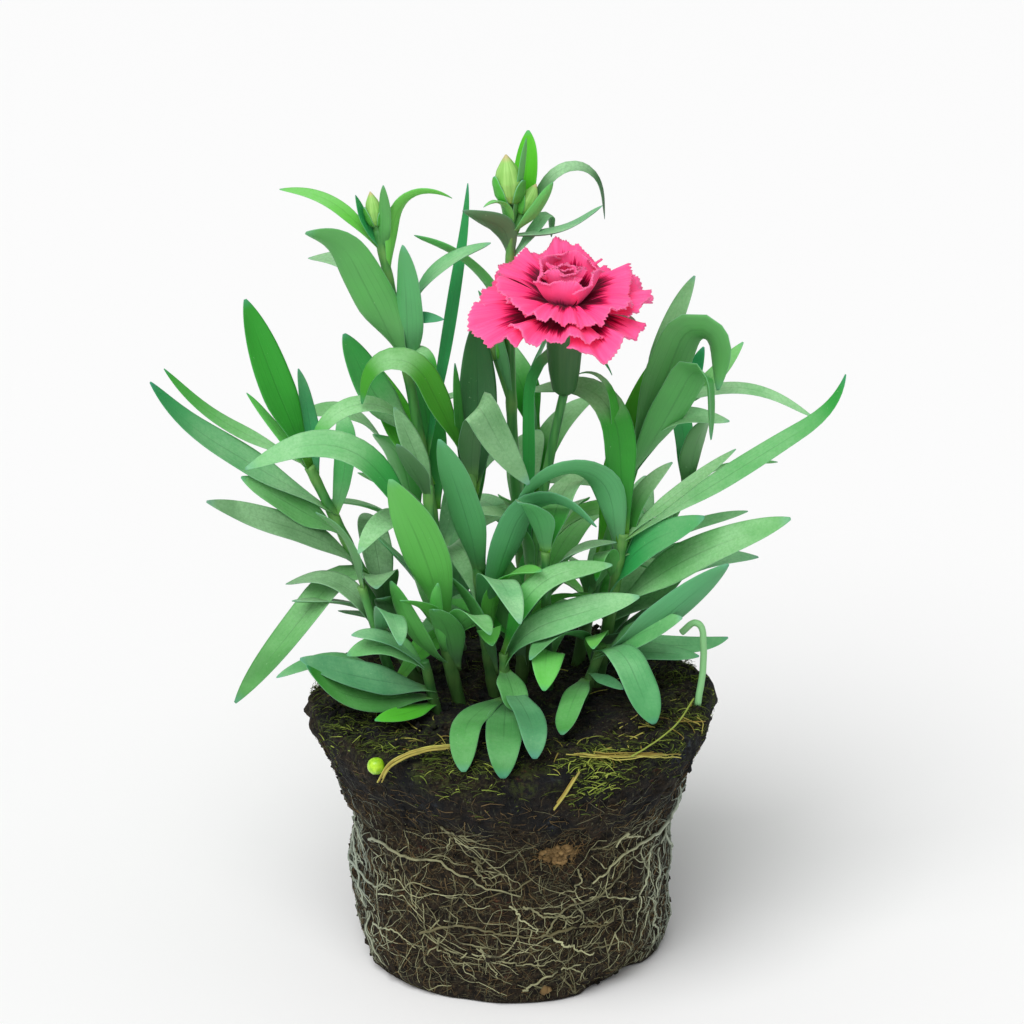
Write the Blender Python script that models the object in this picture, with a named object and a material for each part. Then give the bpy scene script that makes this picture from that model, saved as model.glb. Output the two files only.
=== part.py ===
"""Dianthus plant lifted out of its pot: root ball, root net, leafy stems, buds and one bloom.

Lengths are millimetres and angles degrees until a mesh is made, which is in metres.
The origin is the middle of the root ball's flat base, +Z is up and the plant's front faces -Y.
A heading is an angle seen from above: 0 is the plant's right, 90 its back, 270 its front.
"""

import math
from typing import NamedTuple

import bmesh
import bpy
import numpy as np
from mathutils import Matrix, Vector
from mathutils.bvhtree import BVHTree

MM = 0.001
GAP = 0.35
SEED = 11
BLOOM_SEED = 40

# Root ball: a pot's shape, 100 mm over the rim, with the profile as radius and height
BALL_PROFILE = [
    (37, 0), (38.2, 3), (38.7, 10), (39.2, 25), (39.6, 39), (43, 47.5), (47, 55), (49.3, 61), (48.8, 65.5),
    (43, 67.3),
]
BALL_SIDES = 36
SOIL_RADII = [33, 22, 10]
SOIL_HEIGHT = 67.0
SOIL_HOLLOW = 1.5
PEAT_ROUGHNESS = 1.0

# Stems stand in holes that reach down to this height
STEM_FOOT = 57.0
STEM_TAPER = 0.7

# Leaf blades
BLADE_LEAST_STEPS = 4
BEND_PER_STEP = 50
BLADE_THICKNESS = 1.0
BLADE_FOLD = 0.2
SHEATH_WIDTH = 0.38
TIP_ROUNDING = 0.75

# Roots that show on the side of the ball
ROOT_RADIUS = 0.75
ROOT_OFFSET = 1.4
ROOT_STEPS = 7
LOOP_STEPS = 26
FAR_OUT = 80.0

# Loose bits of the potting mix
PRILL_RADIUS = 2.1
PRILL_HEADING = 231.6
PRILL_HEIGHT = 64.8
STRAW_PATH = [(-31.5, -43, 61.5), (-28, -43.5, 67.2), (-20, -41, 69.4), (-10, -39.5, 69.4)]
STALK_PATH = [(41, -5, 84), (44, -6, 87), (46, -7, 85), (46.2, -8, 76), (45, -10, 67.1)]

# Bloom: 43 mm across, leaning towards the front, on a green calyx
BLOOM_LEAN = 14
CALYX_LENGTH = 22
PETAL_THICKNESS = 1.0
PETAL_COLUMNS = 6


class Stem(NamedTuple):
    """A stem from its place on the soil to its tip, with a sideways bow at mid-height."""
    base: tuple
    tip: tuple
    bow: float = 0.0
    radius: float = 1.7


class Leaf(NamedTuple):
    """A blade on a stem: where it sits, its size, and how it rises, bends and turns."""
    at: float
    length: float
    width: float
    heading: float
    rise: float
    fall: float
    bend: float = 0.5
    reach: float = 0.7
    sweep: float = 0.0
    roll: float = 0.0
    taper: float = 5.0


class Bud(NamedTuple):
    """A closed bud on its stalk: where it leaves the stem, sizes, and where it points."""
    at: float
    stalk: float
    length: float
    radius: float
    heading: float
    lift: float


class Ring(NamedTuple):
    """One ring of petals: how many, their size, and how each rises, falls and cups."""
    count: int
    length: float
    width: float
    rise: float
    fall: float
    start: float
    cup: float
    rows: int


STEMS = {
    "front_left": Stem((-11, -2), (-20, -8, 123), -2),
    "tall_left": Stem((-14, 12), (-32, 14, 180), 2, 1.6),
    "flowering": Stem((2, 9), (12.5, 8, 141), -2, 1.6),
    "tall_middle": Stem((7, 17), (0, 18.5, 183.2), -3, 1.6),
    "right": Stem((20, 8), (27, 2, 107)),
    "back_right": Stem((15, 20), (35, 22, 133), -2),
    "middle": Stem((-3, 3), (-10, 3, 123), -1),
    "left": Stem((-19, 5), (-49, 8, 122)),
    "low_left": Stem((-17, -8), (-21, -13, 80), 0, 1.5),
    "low_front": Stem((-1, -9), (-2, -13, 82), 0, 1.5),
    "low_right": Stem((14, -4), (22, -5, 81), 0, 1.5),
    "back_left": Stem((-9, 22), (-30, 40, 112)),
    "back_middle": Stem((4, 26), (6, 46, 116)),
    "back_end": Stem((20, 29), (44, 42, 104)),
    "side_left": Stem((-25, -4), (-36, -10, 98), 0, 1.5),
    "inner_right": Stem((9, 2), (8, -5, 105), 0, 1.5),
}

# Leaves that show from the front, each by its seat on the stem, length, width, heading,
# rise at the root, fall at the tip, middle and reach of the bend, sweep and roll
LEAVES = {
    "front_left": [
        Leaf(0.95, 24, 6.5, 115, 55, 50, 0.4, 0.7, 20, 0),
        Leaf(0.95, 23, 5.5, 245, 55, 50, 0.4, 0.7, -10, 10),
        Leaf(0.40, 51, 12, 250, 65, 60, 0.4, 0.6, -20, 20),
        Leaf(0.70, 61, 8.5, 190, 60, -25, 0.6, 0.6, -10, -40),
        Leaf(0.20, 33, 6, 205, 35, 65, 0.3, 0.6, 20, 30),
        Leaf(0.25, 28, 4, 230, 30, 65, 0.1, 0.5, 60, -20),
    ],
    "middle": [
        Leaf(0.55, 50, 9, 255, 65, 60, 0.2, 0.6, -15, 10),
        Leaf(0.95, 49, 9, 265, 70, -40, 0.5, 0.2, 60, 40),
        Leaf(1.00, 50, 7.5, 175, 65, -80, 0.7, 0.5, 5, -40),
        Leaf(0.90, 42, 10, 70, 70, 70, 0.5, 0.7, 35, 0),
        Leaf(0.40, 52, 9, 320, 70, -40, 0.7, 0.5, 30, -40),
        Leaf(0.80, 39, 3.5, 145, 75, 85, 0.4, 0.7, -20, 0),
        Leaf(0.80, 39, 3.5, 60, 60, 60, 0.4, 0.7, 45, -50),
    ],
    "flowering": [
        Leaf(0.40, 78, 4, 30, 90, -75, 0.8, 0.5, -25, 30),
        Leaf(0.15, 25, 4, 215, 55, 20, 0.5, 0.8, -10, -50),
        Leaf(0.10, 31, 9.5, 215, 50, 65, 0.3, 0.7, 45, 30),
        Leaf(0.20, 24, 5.5, 95, 65, 55, 0.6, 0.7, -45, -20),
        Leaf(0.15, 24, 4, 240, 65, 50, 0.9, 0.5, 60, 30),
    ],
    "tall_left": [
        Leaf(0.70, 47, 11, 200, 65, 15, 0.8, 0.3, -5, 60),
        Leaf(0.70, 36, 8.5, 275, 75, 75, 0.5, 0.7, -20, -30),
        Leaf(0.95, 31, 4, 160, 45, 0, 0.6, 0.8, 5, -30),
        Leaf(0.90, 33, 4, 325, 85, -35, 0.7, 0.8, 35, -40),
        Leaf(0.50, 70, 4, 45, 75, 90, 0.9, 0.5, 10, 0),
        Leaf(0.55, 33, 10.5, 165, 35, 60, 0.4, 0.6, -20, -20),
        Leaf(0.45, 37, 10, 140, 55, -45, 0.9, 0.2, 5, -10),
        Leaf(0.40, 38, 10, 95, 70, 65, 0.5, 0.7, 25, 20),
        Leaf(0.75, 17, 3.5, 305, 75, 0, 0.5, 0.7, 40, 60),
        Leaf(0.70, 14, 3.5, 315, 75, -55, 0.5, 0.7, 15, 40),
        Leaf(0.95, 16, 3.5, 180, 60, 75, 0.6, 0.7, 0, -30),
        Leaf(0.95, 19, 4, 280, 75, 75, 0.5, 0.7, -10, -40),
        Leaf(0.95, 11, 3.5, 50, 60, 65, 0.5, 0.7, 0, -10),
        Leaf(0.55, 38, 5.5, 205, 50, -70, 0.6, 1.0, 0, -30),
    ],
    "tall_middle": [
        Leaf(0.90, 21, 6, 235, 80, 25, 0.4, 0.4, -45, 50),
        Leaf(0.95, 41, 3.5, 15, 55, -85, 0.6, 0.6, 0, 30),
        Leaf(0.95, 26, 7, 40, 60, 70, 0.3, 0.6, 55, -10),
        Leaf(0.95, 25, 4.5, 340, 78, 84, 0.5, 0.7, 0, 0),
        Leaf(0.95, 24, 5, 5, 0, 35, 0.5, 0.7, 0, 0),
        Leaf(0.95, 15, 3.5, 240, 75, -35, 0.7, 0.7, -35, 10),
        Leaf(0.95, 19, 3.5, 335, 45, 60, 0.5, 0.7, -10, -40),
        Leaf(0.60, 32, 4, 215, 70, 55, 0.8, 0.6, -10, 30),
        Leaf(0.90, 21, 4, 20, 45, -90, 0.7, 0.2, 30, 10),
    ],
    "back_right": [
        Leaf(0.45, 52, 9, 40, 75, 70, 0.4, 0.7, -15, 40),
        Leaf(0.70, 41, 7, 15, 55, 90, 0.6, 0.3, 40, 10),
        Leaf(0.80, 59, 11, 335, 70, -90, 0.7, 0.3, 10, -60),
        Leaf(0.95, 38, 7, 70, 60, 50, 0.6, 0.7, -25, 0),
        Leaf(0.70, 61, 10, 335, 60, -85, 0.7, 0.2, -35, -40),
        Leaf(0.95, 44, 4, 0, 30, -30, 0.5, 0.8, 0, 30),
        Leaf(0.95, 31, 5.5, 20, 20, 45, 0.5, 0.8, 10, 20),
        Leaf(0.90, 27, 6, 10, 30, 70, 0.4, 0.6, 15, 30),
    ],
    "right": [
        Leaf(0.95, 59, 8.5, 125, 85, -15, 0.6, 0.5, 60, -20),
        Leaf(0.85, 47, 8, 240, 80, -45, 0.6, 0.7, -60, 50),
        Leaf(0.55, 38, 9, 325, 75, 30, 0.4, 0.7, 25, 50),
        Leaf(0.75, 32, 6.5, 40, 75, 40, 0.6, 0.8, -30, 20),
        Leaf(0.95, 71, 6, 355, 35, 90, 0.9, 0.4, 0, 40),
        Leaf(0.50, 54, 10.5, 345, 45, 25, 0.4, 0.8, 5, 40),
        Leaf(0.95, 36, 4, 15, 50, 35, 0.1, 0.5, 0, 30),
        Leaf(0.85, 34, 4, 10, 25, 10, 0.5, 0.9, 0, 30),
        Leaf(0.45, 30, 7, 15, 25, 55, 0.6, 0.8, 5, 20),
        Leaf(1.00, 47, 3.5, 100, 80, -80, 0.9, 0.5, 60, 0),
        Leaf(0.70, 20, 5, 245, 70, -70, 0.6, 0.5, -5, 20),
    ],
    "low_right": [
        Leaf(0.85, 43, 8.5, 345, 30, 45, 0.3, 0.6, -5, -60),
        Leaf(0.80, 26, 8, 340, 35, 25, 0.7, 0.7, 0, 40),
        Leaf(0.95, 33, 6, 15, -5, 30, 0.9, 0.5, 0, 30),
        Leaf(0.85, 25, 5.5, 0, 5, -5, 0.4, 0.7, 0, 30),
        Leaf(0.90, 31, 9.5, 300, 25, -45, 0.35, 0.5, 0, 0, 8),
        Leaf(0.50, 30, 6.5, 258, 0, -20, 0.5, 0.7, 0, 10, 8),
        Leaf(0.60, 16, 3.5, 300, 5, 5, 0.5, 0.7, 0, 20),
    ],
    "low_front": [
        Leaf(1.00, 38, 7, 20, 70, 5, 0.5, 0.7, -15, 30),
        Leaf(0.80, 39, 9.5, 10, 75, 15, 0.2, 0.6, -5, 30),
        Leaf(0.35, 45, 9, 269, 6, -60, 0.85, 0.3, 0, 0, 10),
        Leaf(0.55, 40, 7.5, 288, 3, -50, 0.85, 0.3, -16, -10, 10),
        Leaf(0.35, 42, 7.5, 238, 8, -40, 0.75, 0.4, 36, 0, 10),
        Leaf(0.75, 13, 7.5, 285, -15, -45, 0.5, 0.7, 0, -10, 8),
    ],
    "low_left": [
        Leaf(0.50, 38, 9, 205, 20, 30, 0.7, 0.6, 0, -40),
        Leaf(0.40, 41, 8, 210, 10, 60, 0.7, 0.9, 5, -40),
        Leaf(0.30, 23, 5.5, 235, 5, 10, 0.5, 0.7, -10, -20),
        Leaf(0.80, 23, 7, 165, 50, -20, 0.5, 0.8, 5, -30),
        Leaf(0.85, 22, 7, 140, 45, 5, 0.6, 0.8, 15, -10),
    ],
    "left": [
        Leaf(0.40, 58, 9, 205, 90, -45, 0.2, 0.5, 5, -20),
        Leaf(1.00, 44, 4, 185, 30, 55, 0.7, 0.7, 0, -40),
        Leaf(0.80, 58, 8, 190, 35, 60, 0.8, 0.6, 0, -40),
        Leaf(0.55, 48, 8.5, 205, 45, 25, 0.3, 0.6, -5, -40),
        Leaf(0.70, 32, 8.5, 195, 35, 35, 0.5, 0.7, 0, -40),
        Leaf(1.00, 44, 9.5, 155, 65, 70, 0.6, 0.7, -5, -30),
        Leaf(0.95, 27, 3.5, 165, 50, 50, 0.4, 0.7, 0, -20),
        Leaf(0.95, 28, 5, 100, 60, 55, 0.5, 0.7, 15, 20),
        Leaf(0.80, 27, 7, 55, 55, 20, 0.9, 0.4, 60, -30),
    ],
}

# Short leaves low on a stem, towards the front: how many, and the first and last heading
LOW_LEAVES = {
    "front_left": (2, 200, 290),
    "middle": (3, 200, 340),
    "left": (3, 150, 270),
    "right": (3, 240, 390),
    "flowering": (2, 240, 330),
    "tall_left": (2, 120, 220),
    "tall_middle": (2, 250, 330),
    "back_right": (2, 300, 400),
}

# Pairs of leaves on the plant's hidden side: first seat, last seat, pairs, length, first heading
HIDDEN_PAIRS = {
    "front_left": (0.3, 0.8, 1, 40, 100),
    "tall_left": (0.3, 0.8, 2, 44, 60),
    "flowering": (0.4, 0.7, 1, 34, 60),
    "tall_middle": (0.35, 0.75, 2, 44, 75),
    "right": (0.3, 0.8, 1, 42, 45),
    "back_right": (0.3, 0.8, 2, 46, 80),
    "middle": (0.4, 0.8, 1, 40, 90),
    "left": (0.4, 0.8, 1, 42, 110),
    "back_left": (0.2, 1.0, 4, 48, 100),
    "back_middle": (0.2, 1.0, 4, 48, 60),
    "back_end": (0.2, 1.0, 4, 46, 20),
    "side_left": (0.25, 1.0, 3, 36, 200),
    "inner_right": (0.3, 1.0, 3, 34, 250),
}

BUDS = {
    "tall_left": [Bud(1.0, 1, 8.5, 2.1, 190, 80)],
    "tall_middle": [
        Bud(1.0, 2, 12, 3.6, 185, 84),
        Bud(0.94, 7, 8, 2.2, 10, 66),
        Bud(0.60, 12, 12.5, 3.2, 172, 72),
    ],
}

RINGS = [
    Ring(7, 21.5, 20, 22, -2, 0.0, 0.05, 2),
    Ring(6, 18, 15, 40, 8, 1.6, 0.1, 2),
    Ring(4, 12.5, 13, 30, 80, 2.6, 0.15, 2),
    Ring(3, 9.5, 9, 60, 100, 3.4, 0.15, 2),
]

# Thick roots: heading and height where each starts and ends
LONG_ROOTS = [
    (214, 37, 273, 29), (206, 21, 245, 29), (246, 19, 306, 22), (298, 32, 338, 42),
    (246, 46, 262, 44), (332, 42, 350, 20), (200, 46, 216, 24), (300, 26, 326, 30),
]
ROOT_LOOPS = [(5, 1.2), (16, 3.0)]
FINE_ROOTS = 8

COLOURS = {
    "peat": ((0.035, 0.026, 0.018), 0.95),
    "root": ((0.62, 0.57, 0.42), 0.8),
    "leaf": ((0.09, 0.27, 0.12), 0.55),
    "petal": ((0.80, 0.08, 0.16), 0.6),
    "prill": ((0.62, 0.70, 0.10), 0.5),
    "straw": ((0.60, 0.48, 0.22), 0.8),
    "stalk": ((0.30, 0.55, 0.30), 0.6),
}


def clear_scene():
    for thing in list(bpy.data.objects):
        bpy.data.objects.remove(thing, do_unlink=True)


def collection(name):
    """A collection of the scene, made if it is missing."""
    found = bpy.data.collections.get(name) or bpy.data.collections.new(name)
    if name not in bpy.context.scene.collection.children:
        bpy.context.scene.collection.children.link(found)
    return found


def material(name):
    """A plain Principled material in the part's own colour."""
    found = bpy.data.materials.get(name)
    if found:
        return found
    colour, roughness = COLOURS[name]
    made = bpy.data.materials.new(name)
    made.use_nodes = True
    shader = made.node_tree.nodes["Principled BSDF"]
    shader.inputs["Base Color"].default_value = (*colour, 1)
    shader.inputs["Roughness"].default_value = roughness
    shader.inputs["Metallic"].default_value = 0
    made.diffuse_color = (*colour, 1)
    return made


def mesh_object(name, points, faces, into):
    """An object from points in millimetres."""
    mesh = bpy.data.meshes.new(name)
    mesh.from_pydata([tuple(p) for p in np.asarray(points) * MM], [], faces)
    mesh.update()
    made = bpy.data.objects.new(name, mesh)
    into.objects.link(made)
    return made


def real_mesh(source, name, into):
    """The object that a curve or a modified object evaluates to, as a plain mesh."""
    bpy.context.view_layer.update()
    graph = bpy.context.evaluated_depsgraph_get()
    mesh = bpy.data.meshes.new_from_object(source.evaluated_get(graph), depsgraph=graph)
    shape = bmesh.new()
    shape.from_mesh(mesh)
    bmesh.ops.remove_doubles(shape, verts=shape.verts, dist=1e-6)
    bmesh.ops.recalc_face_normals(shape, faces=shape.faces)
    shape.to_mesh(mesh)
    shape.free()
    made = bpy.data.objects.new(name, mesh)
    made.matrix_world = source.matrix_world
    into.objects.link(made)
    bpy.data.objects.remove(source, do_unlink=True)
    return made


def tube(name, path, radii, into, detail=1, closed=False):
    """A round tube along a path, with a radius at each point; detail 1 gives 6 sides."""
    curve = bpy.data.curves.new(name + "_line", "CURVE")
    curve.dimensions = "3D"
    curve.bevel_depth = MM
    curve.bevel_resolution = detail
    curve.use_fill_caps = not closed
    spline = curve.splines.new("POLY")
    spline.points.add(len(path) - 1)
    for point, place, radius in zip(spline.points, path, radii):
        point.co = (*(np.asarray(place) * MM), 1)
        point.radius = radius
    spline.use_cyclic_u = closed
    line = bpy.data.objects.new(name + "_line", curve)
    into.objects.link(line)
    return real_mesh(line, name, into)


def largest_body(mesh):
    """Keeps the biggest connected piece, so loose scraps and sealed hollows go."""
    shape = bmesh.new()
    shape.from_mesh(mesh)
    left = set(shape.faces)
    best = set()
    while left:
        start = left.pop()
        group = {start}
        front = [start]
        while front:
            for edge in front.pop().edges:
                for face in edge.link_faces:
                    if face in left:
                        left.discard(face)
                        group.add(face)
                        front.append(face)
        if len(group) > len(best):
            best = group
    bmesh.ops.delete(shape, geom=[face for face in shape.faces if face not in best], context="FACES")
    bmesh.ops.triangulate(shape, faces=shape.faces)
    bmesh.ops.dissolve_degenerate(shape, dist=1e-6, edges=shape.edges)
    bmesh.ops.triangulate(shape, faces=shape.faces)
    shape.to_mesh(mesh)
    shape.free()


def joined(name, pieces, look, solver="EXACT"):
    """One solid from pieces that overlap, by a Boolean union with a collection."""
    base, others = pieces[0], pieces[1:]
    work = bpy.data.collections.new(name + "_repeats")
    for piece in others:
        work.objects.link(piece)
    union = base.modifiers.new("union", "BOOLEAN")
    union.operation = "UNION"
    union.operand_type = "COLLECTION"
    union.collection = work
    union.solver = solver
    made = real_mesh(base, name, collection("dianthus plant"))
    for piece in others:
        bpy.data.objects.remove(piece, do_unlink=True)
    bpy.data.collections.remove(work)
    largest_body(made.data)
    finish(made, look)
    return made


def finish(made, look):
    """Names the mesh, gives it its material and shades its round sides smooth."""
    made.data.name = made.name
    made.data.materials.clear()
    made.data.materials.append(material(look))
    made.data.shade_smooth()
    made.data.set_sharp_from_angle(angle=math.radians(40))


def cut(body, cutter):
    """Takes the cutter out of the body and removes the cutter."""
    cutter.hide_render = True
    cutter.display_type = "WIRE"
    made = body.modifiers.new("cut", "BOOLEAN")
    made.operation = "DIFFERENCE"
    made.object = cutter
    made.solver = "EXACT"
    name = body.name
    body.name = name + "_uncut"
    result = real_mesh(body, name, collection("dianthus plant"))
    bpy.data.objects.remove(cutter, do_unlink=True)
    return result


def smooth(value):
    """A soft step from 0 to 1."""
    value = np.clip(value, 0, 1)
    return value * value * (3 - 2 * value)


def stem_path(stem, steps=6, foot=STEM_FOOT):
    """Points along a stem from its foot in the soil to its tip."""
    base = np.array([*stem.base, foot], float)
    along = np.linspace(0, 1, steps)[:, None]
    bow = np.array([stem.bow, 0, 0]) * 4 * along * (1 - along)
    return base + (np.array(stem.tip, float) - base) * along + bow


def stem_point(stem, at):
    """The point at a fraction of the stem's way from the soil to its tip."""
    base = np.array([*stem.base, 62.0])
    return base + (np.array(stem.tip, float) - base) * at + np.array([stem.bow, 0, 0]) * 4 * at * (1 - at)


def blade_rows(root, leaf, steps):
    """Centre points, side and upward directions along a blade that bends in elevation."""
    s = np.linspace(0, 1, steps + 1)
    middle = (s[1:] + s[:-1]) / 2
    lift = np.radians(leaf.rise + (leaf.fall - leaf.rise) * smooth((middle - leaf.bend) / leaf.reach + 0.5))
    turn = np.radians(leaf.heading + leaf.sweep * middle)
    ahead = np.stack([np.cos(lift) * np.cos(turn), np.cos(lift) * np.sin(turn), np.sin(lift)], 1)
    centre = root + np.vstack([np.zeros(3), np.cumsum(ahead * leaf.length / steps, 0)])
    turn = np.radians(leaf.heading + leaf.sweep * s)
    side = np.stack([-np.sin(turn), np.cos(turn), np.zeros_like(s)], 1)
    forward = np.gradient(centre, axis=0)
    forward /= np.linalg.norm(forward, axis=1)[:, None]
    up = np.cross(forward, side)
    up /= np.linalg.norm(up, axis=1)[:, None]
    side = np.cross(up, forward)
    roll = np.radians(leaf.roll * smooth(s / 0.4))[:, None]
    return s, centre, side * np.cos(roll) + up * np.sin(roll), up * np.cos(roll) - side * np.sin(roll)


def blade_width(s, leaf):
    """Half the blade's width: a narrow sheath, a broad middle and a rounded tip."""
    swell = SHEATH_WIDTH + (1 - SHEATH_WIDTH) * smooth(s / 0.45)
    return leaf.width / 2 * swell * (1 - s ** leaf.taper) ** TIP_ROUNDING


def blade_steps(leaf):
    """A straight blade has few segments and an arched one has more."""
    return BLADE_LEAST_STEPS + int(abs(leaf.rise - leaf.fall) / BEND_PER_STEP)


def blade(root, leaf, margin=0.0):
    """Points and faces of a closed blade with a shallow V section, split alike on both faces."""
    steps = blade_steps(leaf)
    s, centre, side, up = blade_rows(root, leaf, steps)
    half = (blade_width(s, leaf) + margin)[:-1, None]
    edge_lift = BLADE_FOLD * half
    above = BLADE_THICKNESS * 0.4 + margin
    below = BLADE_THICKNESS * 0.6 + margin
    middle = centre[:-1]
    rows = [middle + side[:-1] * half + up[:-1] * edge_lift, middle + up[:-1] * above,
            middle - side[:-1] * half + up[:-1] * edge_lift, middle - up[:-1] * below]
    points = np.stack(rows, 1).reshape(-1, 3)
    points = np.vstack([points, centre[-1]])
    faces = [(0, 1, 3), (1, 2, 3)]
    for row in range(steps - 1):
        low = row * 4
        for a, b, c, d in ((0, 1, 4, 5), (1, 2, 5, 6), (2, 3, 6, 7), (3, 0, 7, 4)):
            if a in (0, 2):
                faces += [(low + a, low + c, low + b), (low + b, low + c, low + d)]
            else:
                faces += [(low + a, low + c, low + d), (low + a, low + d, low + b)]
    last = (steps - 1) * 4
    tip = len(points) - 1
    faces += [(last + a, tip, last + (a + 1) % 4) for a in range(4)]
    return points, faces


def hidden_leaves():
    """Crossed pairs of leaves for the sides that the front hides."""
    chance = np.random.default_rng(SEED)
    made = {}
    for name, (first, last, pairs, length, heading) in HIDDEN_PAIRS.items():
        made[name] = []
        for index in range(pairs):
            at = first + (last - first) * (index / max(pairs - 1, 1))
            size = length * (1 - 0.3 * at) * chance.uniform(0.85, 1.15)
            for partner in (0, 180):
                turn = heading + 90 * index + partner + chance.uniform(-18, 18)
                rise = 40 + 30 * at + chance.uniform(-8, 8)
                fall = rise - chance.uniform(45, 100) * (1.1 - 0.5 * at)
                width, bend, sweep, roll = chance.uniform([6.5, 0.45, -15, -25], [9.5, 0.65, 15, 25])
                made[name].append(Leaf(at, size, width, turn, rise, fall, bend, 0.8, sweep, roll))
    return made


def low_leaves():
    """Short leaves that fill the crown just above the soil."""
    chance = np.random.default_rng(SEED + 3)
    made = {}
    for name, (count, first, last) in LOW_LEAVES.items():
        made[name] = []
        for heading in first + (last - first) * (np.arange(count) + 0.5) / count:
            at, length, width = chance.uniform([0.08, 26, 6], [0.3, 36, 8.5])
            turn, rise, fall, sweep, roll = chance.uniform([-12, 50, -5, -10, -20], [12, 75, 50, 10, 20])
            made[name].append(Leaf(at, length, width, heading + turn, rise, fall, 0.5, 0.8, sweep, roll))
    return made


class Clearing:
    """Swings each blade aside until it stands clear of every other node."""

    def __init__(self):
        self.kept = []
        turns = [(turn, lift) for turn in range(-42, 43, 6) for lift in range(-24, 25, 6)]
        self.swings = sorted(turns, key=lambda swing: (abs(swing[0]) + 1.5 * abs(swing[1]), swing))

    def keep(self, owner, points, faces):
        self.kept.append((owner, BVHTree.FromPolygons([tuple(p) for p in points], faces)))

    def is_free(self, owner, points, faces):
        tree = BVHTree.FromPolygons([tuple(p) for p in points], faces)
        return not any(other != owner and tree.overlap(kept) for other, kept in self.kept)

    def place(self, owner, leaf):
        """The leaf as it was drawn or with the smallest swing that clears it, else nothing."""
        root = stem_point(STEMS[owner], leaf.at)
        for turn, lift in self.swings:
            swung = leaf._replace(heading=leaf.heading + turn, rise=leaf.rise + lift, fall=leaf.fall + lift)
            if self.is_free(owner, *blade(root, swung, GAP)):
                self.keep(owner, *blade(root, swung))
                return swung
        return None


def ball_radius(height, heading):
    """The ball's radius at a height and heading: its profile with a lumpy surface."""
    radii, heights = zip(*BALL_PROFILE)
    turn = np.radians(heading)
    lumps = np.sin(5 * turn + height * 0.21) + np.sin(7 * turn - height * 0.13 + 1.0)
    lumps = lumps + np.sin(height * 0.33 + 2 * turn)
    level = smooth(np.asarray(height) / 4)
    return np.interp(height, heights, radii) + PEAT_ROUGHNESS * 0.4 * lumps * level


def soil_height(x, y):
    """Height of the uneven soil inside the rim."""
    waves = np.sin(0.16 * x + 0.4) * np.cos(0.19 * y) + 0.6 * np.sin(0.31 * x - 0.27 * y)
    inside = np.clip(1 - (x * x + y * y) / 43 ** 2, 0, 1)
    return SOIL_HEIGHT - SOIL_HOLLOW * inside + PEAT_ROUGHNESS * waves * smooth(inside * 4)


def ball_shape():
    """Points and faces of the root ball, closed by a flat base and the soil on top."""
    headings = np.arange(BALL_SIDES) * 360 / BALL_SIDES
    turn = np.radians(headings)
    points = [(0, 0, 0)]
    rings = []
    for radius, height in BALL_PROFILE:
        reach = ball_radius(height, headings)
        rings.append((reach, np.full(BALL_SIDES, float(height))))
    for radius in SOIL_RADII:
        rings.append((np.full(BALL_SIDES, float(radius)), None))
    for reach, height in rings:
        x, y = reach * np.cos(turn), reach * np.sin(turn)
        z = soil_height(x, y) if height is None else height
        points += list(zip(x, y, z))
    points.append((0, 0, float(soil_height(0.0, 0.0))))
    top = len(points) - 1
    faces = [(0, 1 + (i + 1) % BALL_SIDES, 1 + i) for i in range(BALL_SIDES)]
    for ring in range(len(rings) - 1):
        low, high = 1 + ring * BALL_SIDES, 1 + (ring + 1) * BALL_SIDES
        for i in range(BALL_SIDES):
            j = (i + 1) % BALL_SIDES
            faces += [(low + i, low + j, high + j), (low + i, high + j, high + i)]
    last = 1 + (len(rings) - 1) * BALL_SIDES
    faces += [(last + i, last + (i + 1) % BALL_SIDES, top) for i in range(BALL_SIDES)]
    return np.array(points, float), faces


def build_root_ball(points, faces):
    """The peat with a plain hole for each stem."""
    ball = mesh_object("root_ball", points, faces, collection("dianthus plant"))
    for name, stem in STEMS.items():
        path = stem_path(stem)[:4]
        path[0] += (path[0] - path[1]) * 0.03
        hole = tube("hole_" + name, path, [stem.radius + GAP + 0.1] * 4, collection("cutters"), 2)
        ball = cut(ball, hole)
    finish(ball, "peat")
    return ball


def skin_reach(skin, height, heading):
    """How far the ball's faceted side reaches at each height and heading."""
    reach = []
    for level, turn in zip(height, np.radians(heading)):
        ahead = Vector((math.cos(turn), math.sin(turn), 0))
        hit = skin.ray_cast(ahead * FAR_OUT + Vector((0, 0, level)), -ahead)
        reach.append(FAR_OUT - hit[3])
    return np.array(reach)


def root_path(skin, start, start_height, end, end_height, steps, waviness, chance):
    """A wavy line over the ball's side, just clear of it."""
    t = np.linspace(0, 1, steps)
    phase = chance.uniform(0, 6.28)
    heading = start + (end - start) * t
    height = start_height + (end_height - start_height) * t + waviness * np.sin(phase + 9 * t)
    height = np.clip(height, ROOT_RADIUS + 0.6, 60)
    reach = skin_reach(skin, height, heading) + ROOT_OFFSET
    turn = np.radians(heading)
    return np.stack([reach * np.cos(turn), reach * np.sin(turn), height], 1)


def root_loop(skin, height, waviness):
    """A root that goes all the way round the ball."""
    turn = np.arange(LOOP_STEPS) * 2 * math.pi / LOOP_STEPS
    levels = height + waviness * np.sin(5 * turn + height)
    reach = skin_reach(skin, levels, np.degrees(turn)) + ROOT_OFFSET
    return np.stack([reach * np.cos(turn), reach * np.sin(turn), levels], 1)


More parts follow.
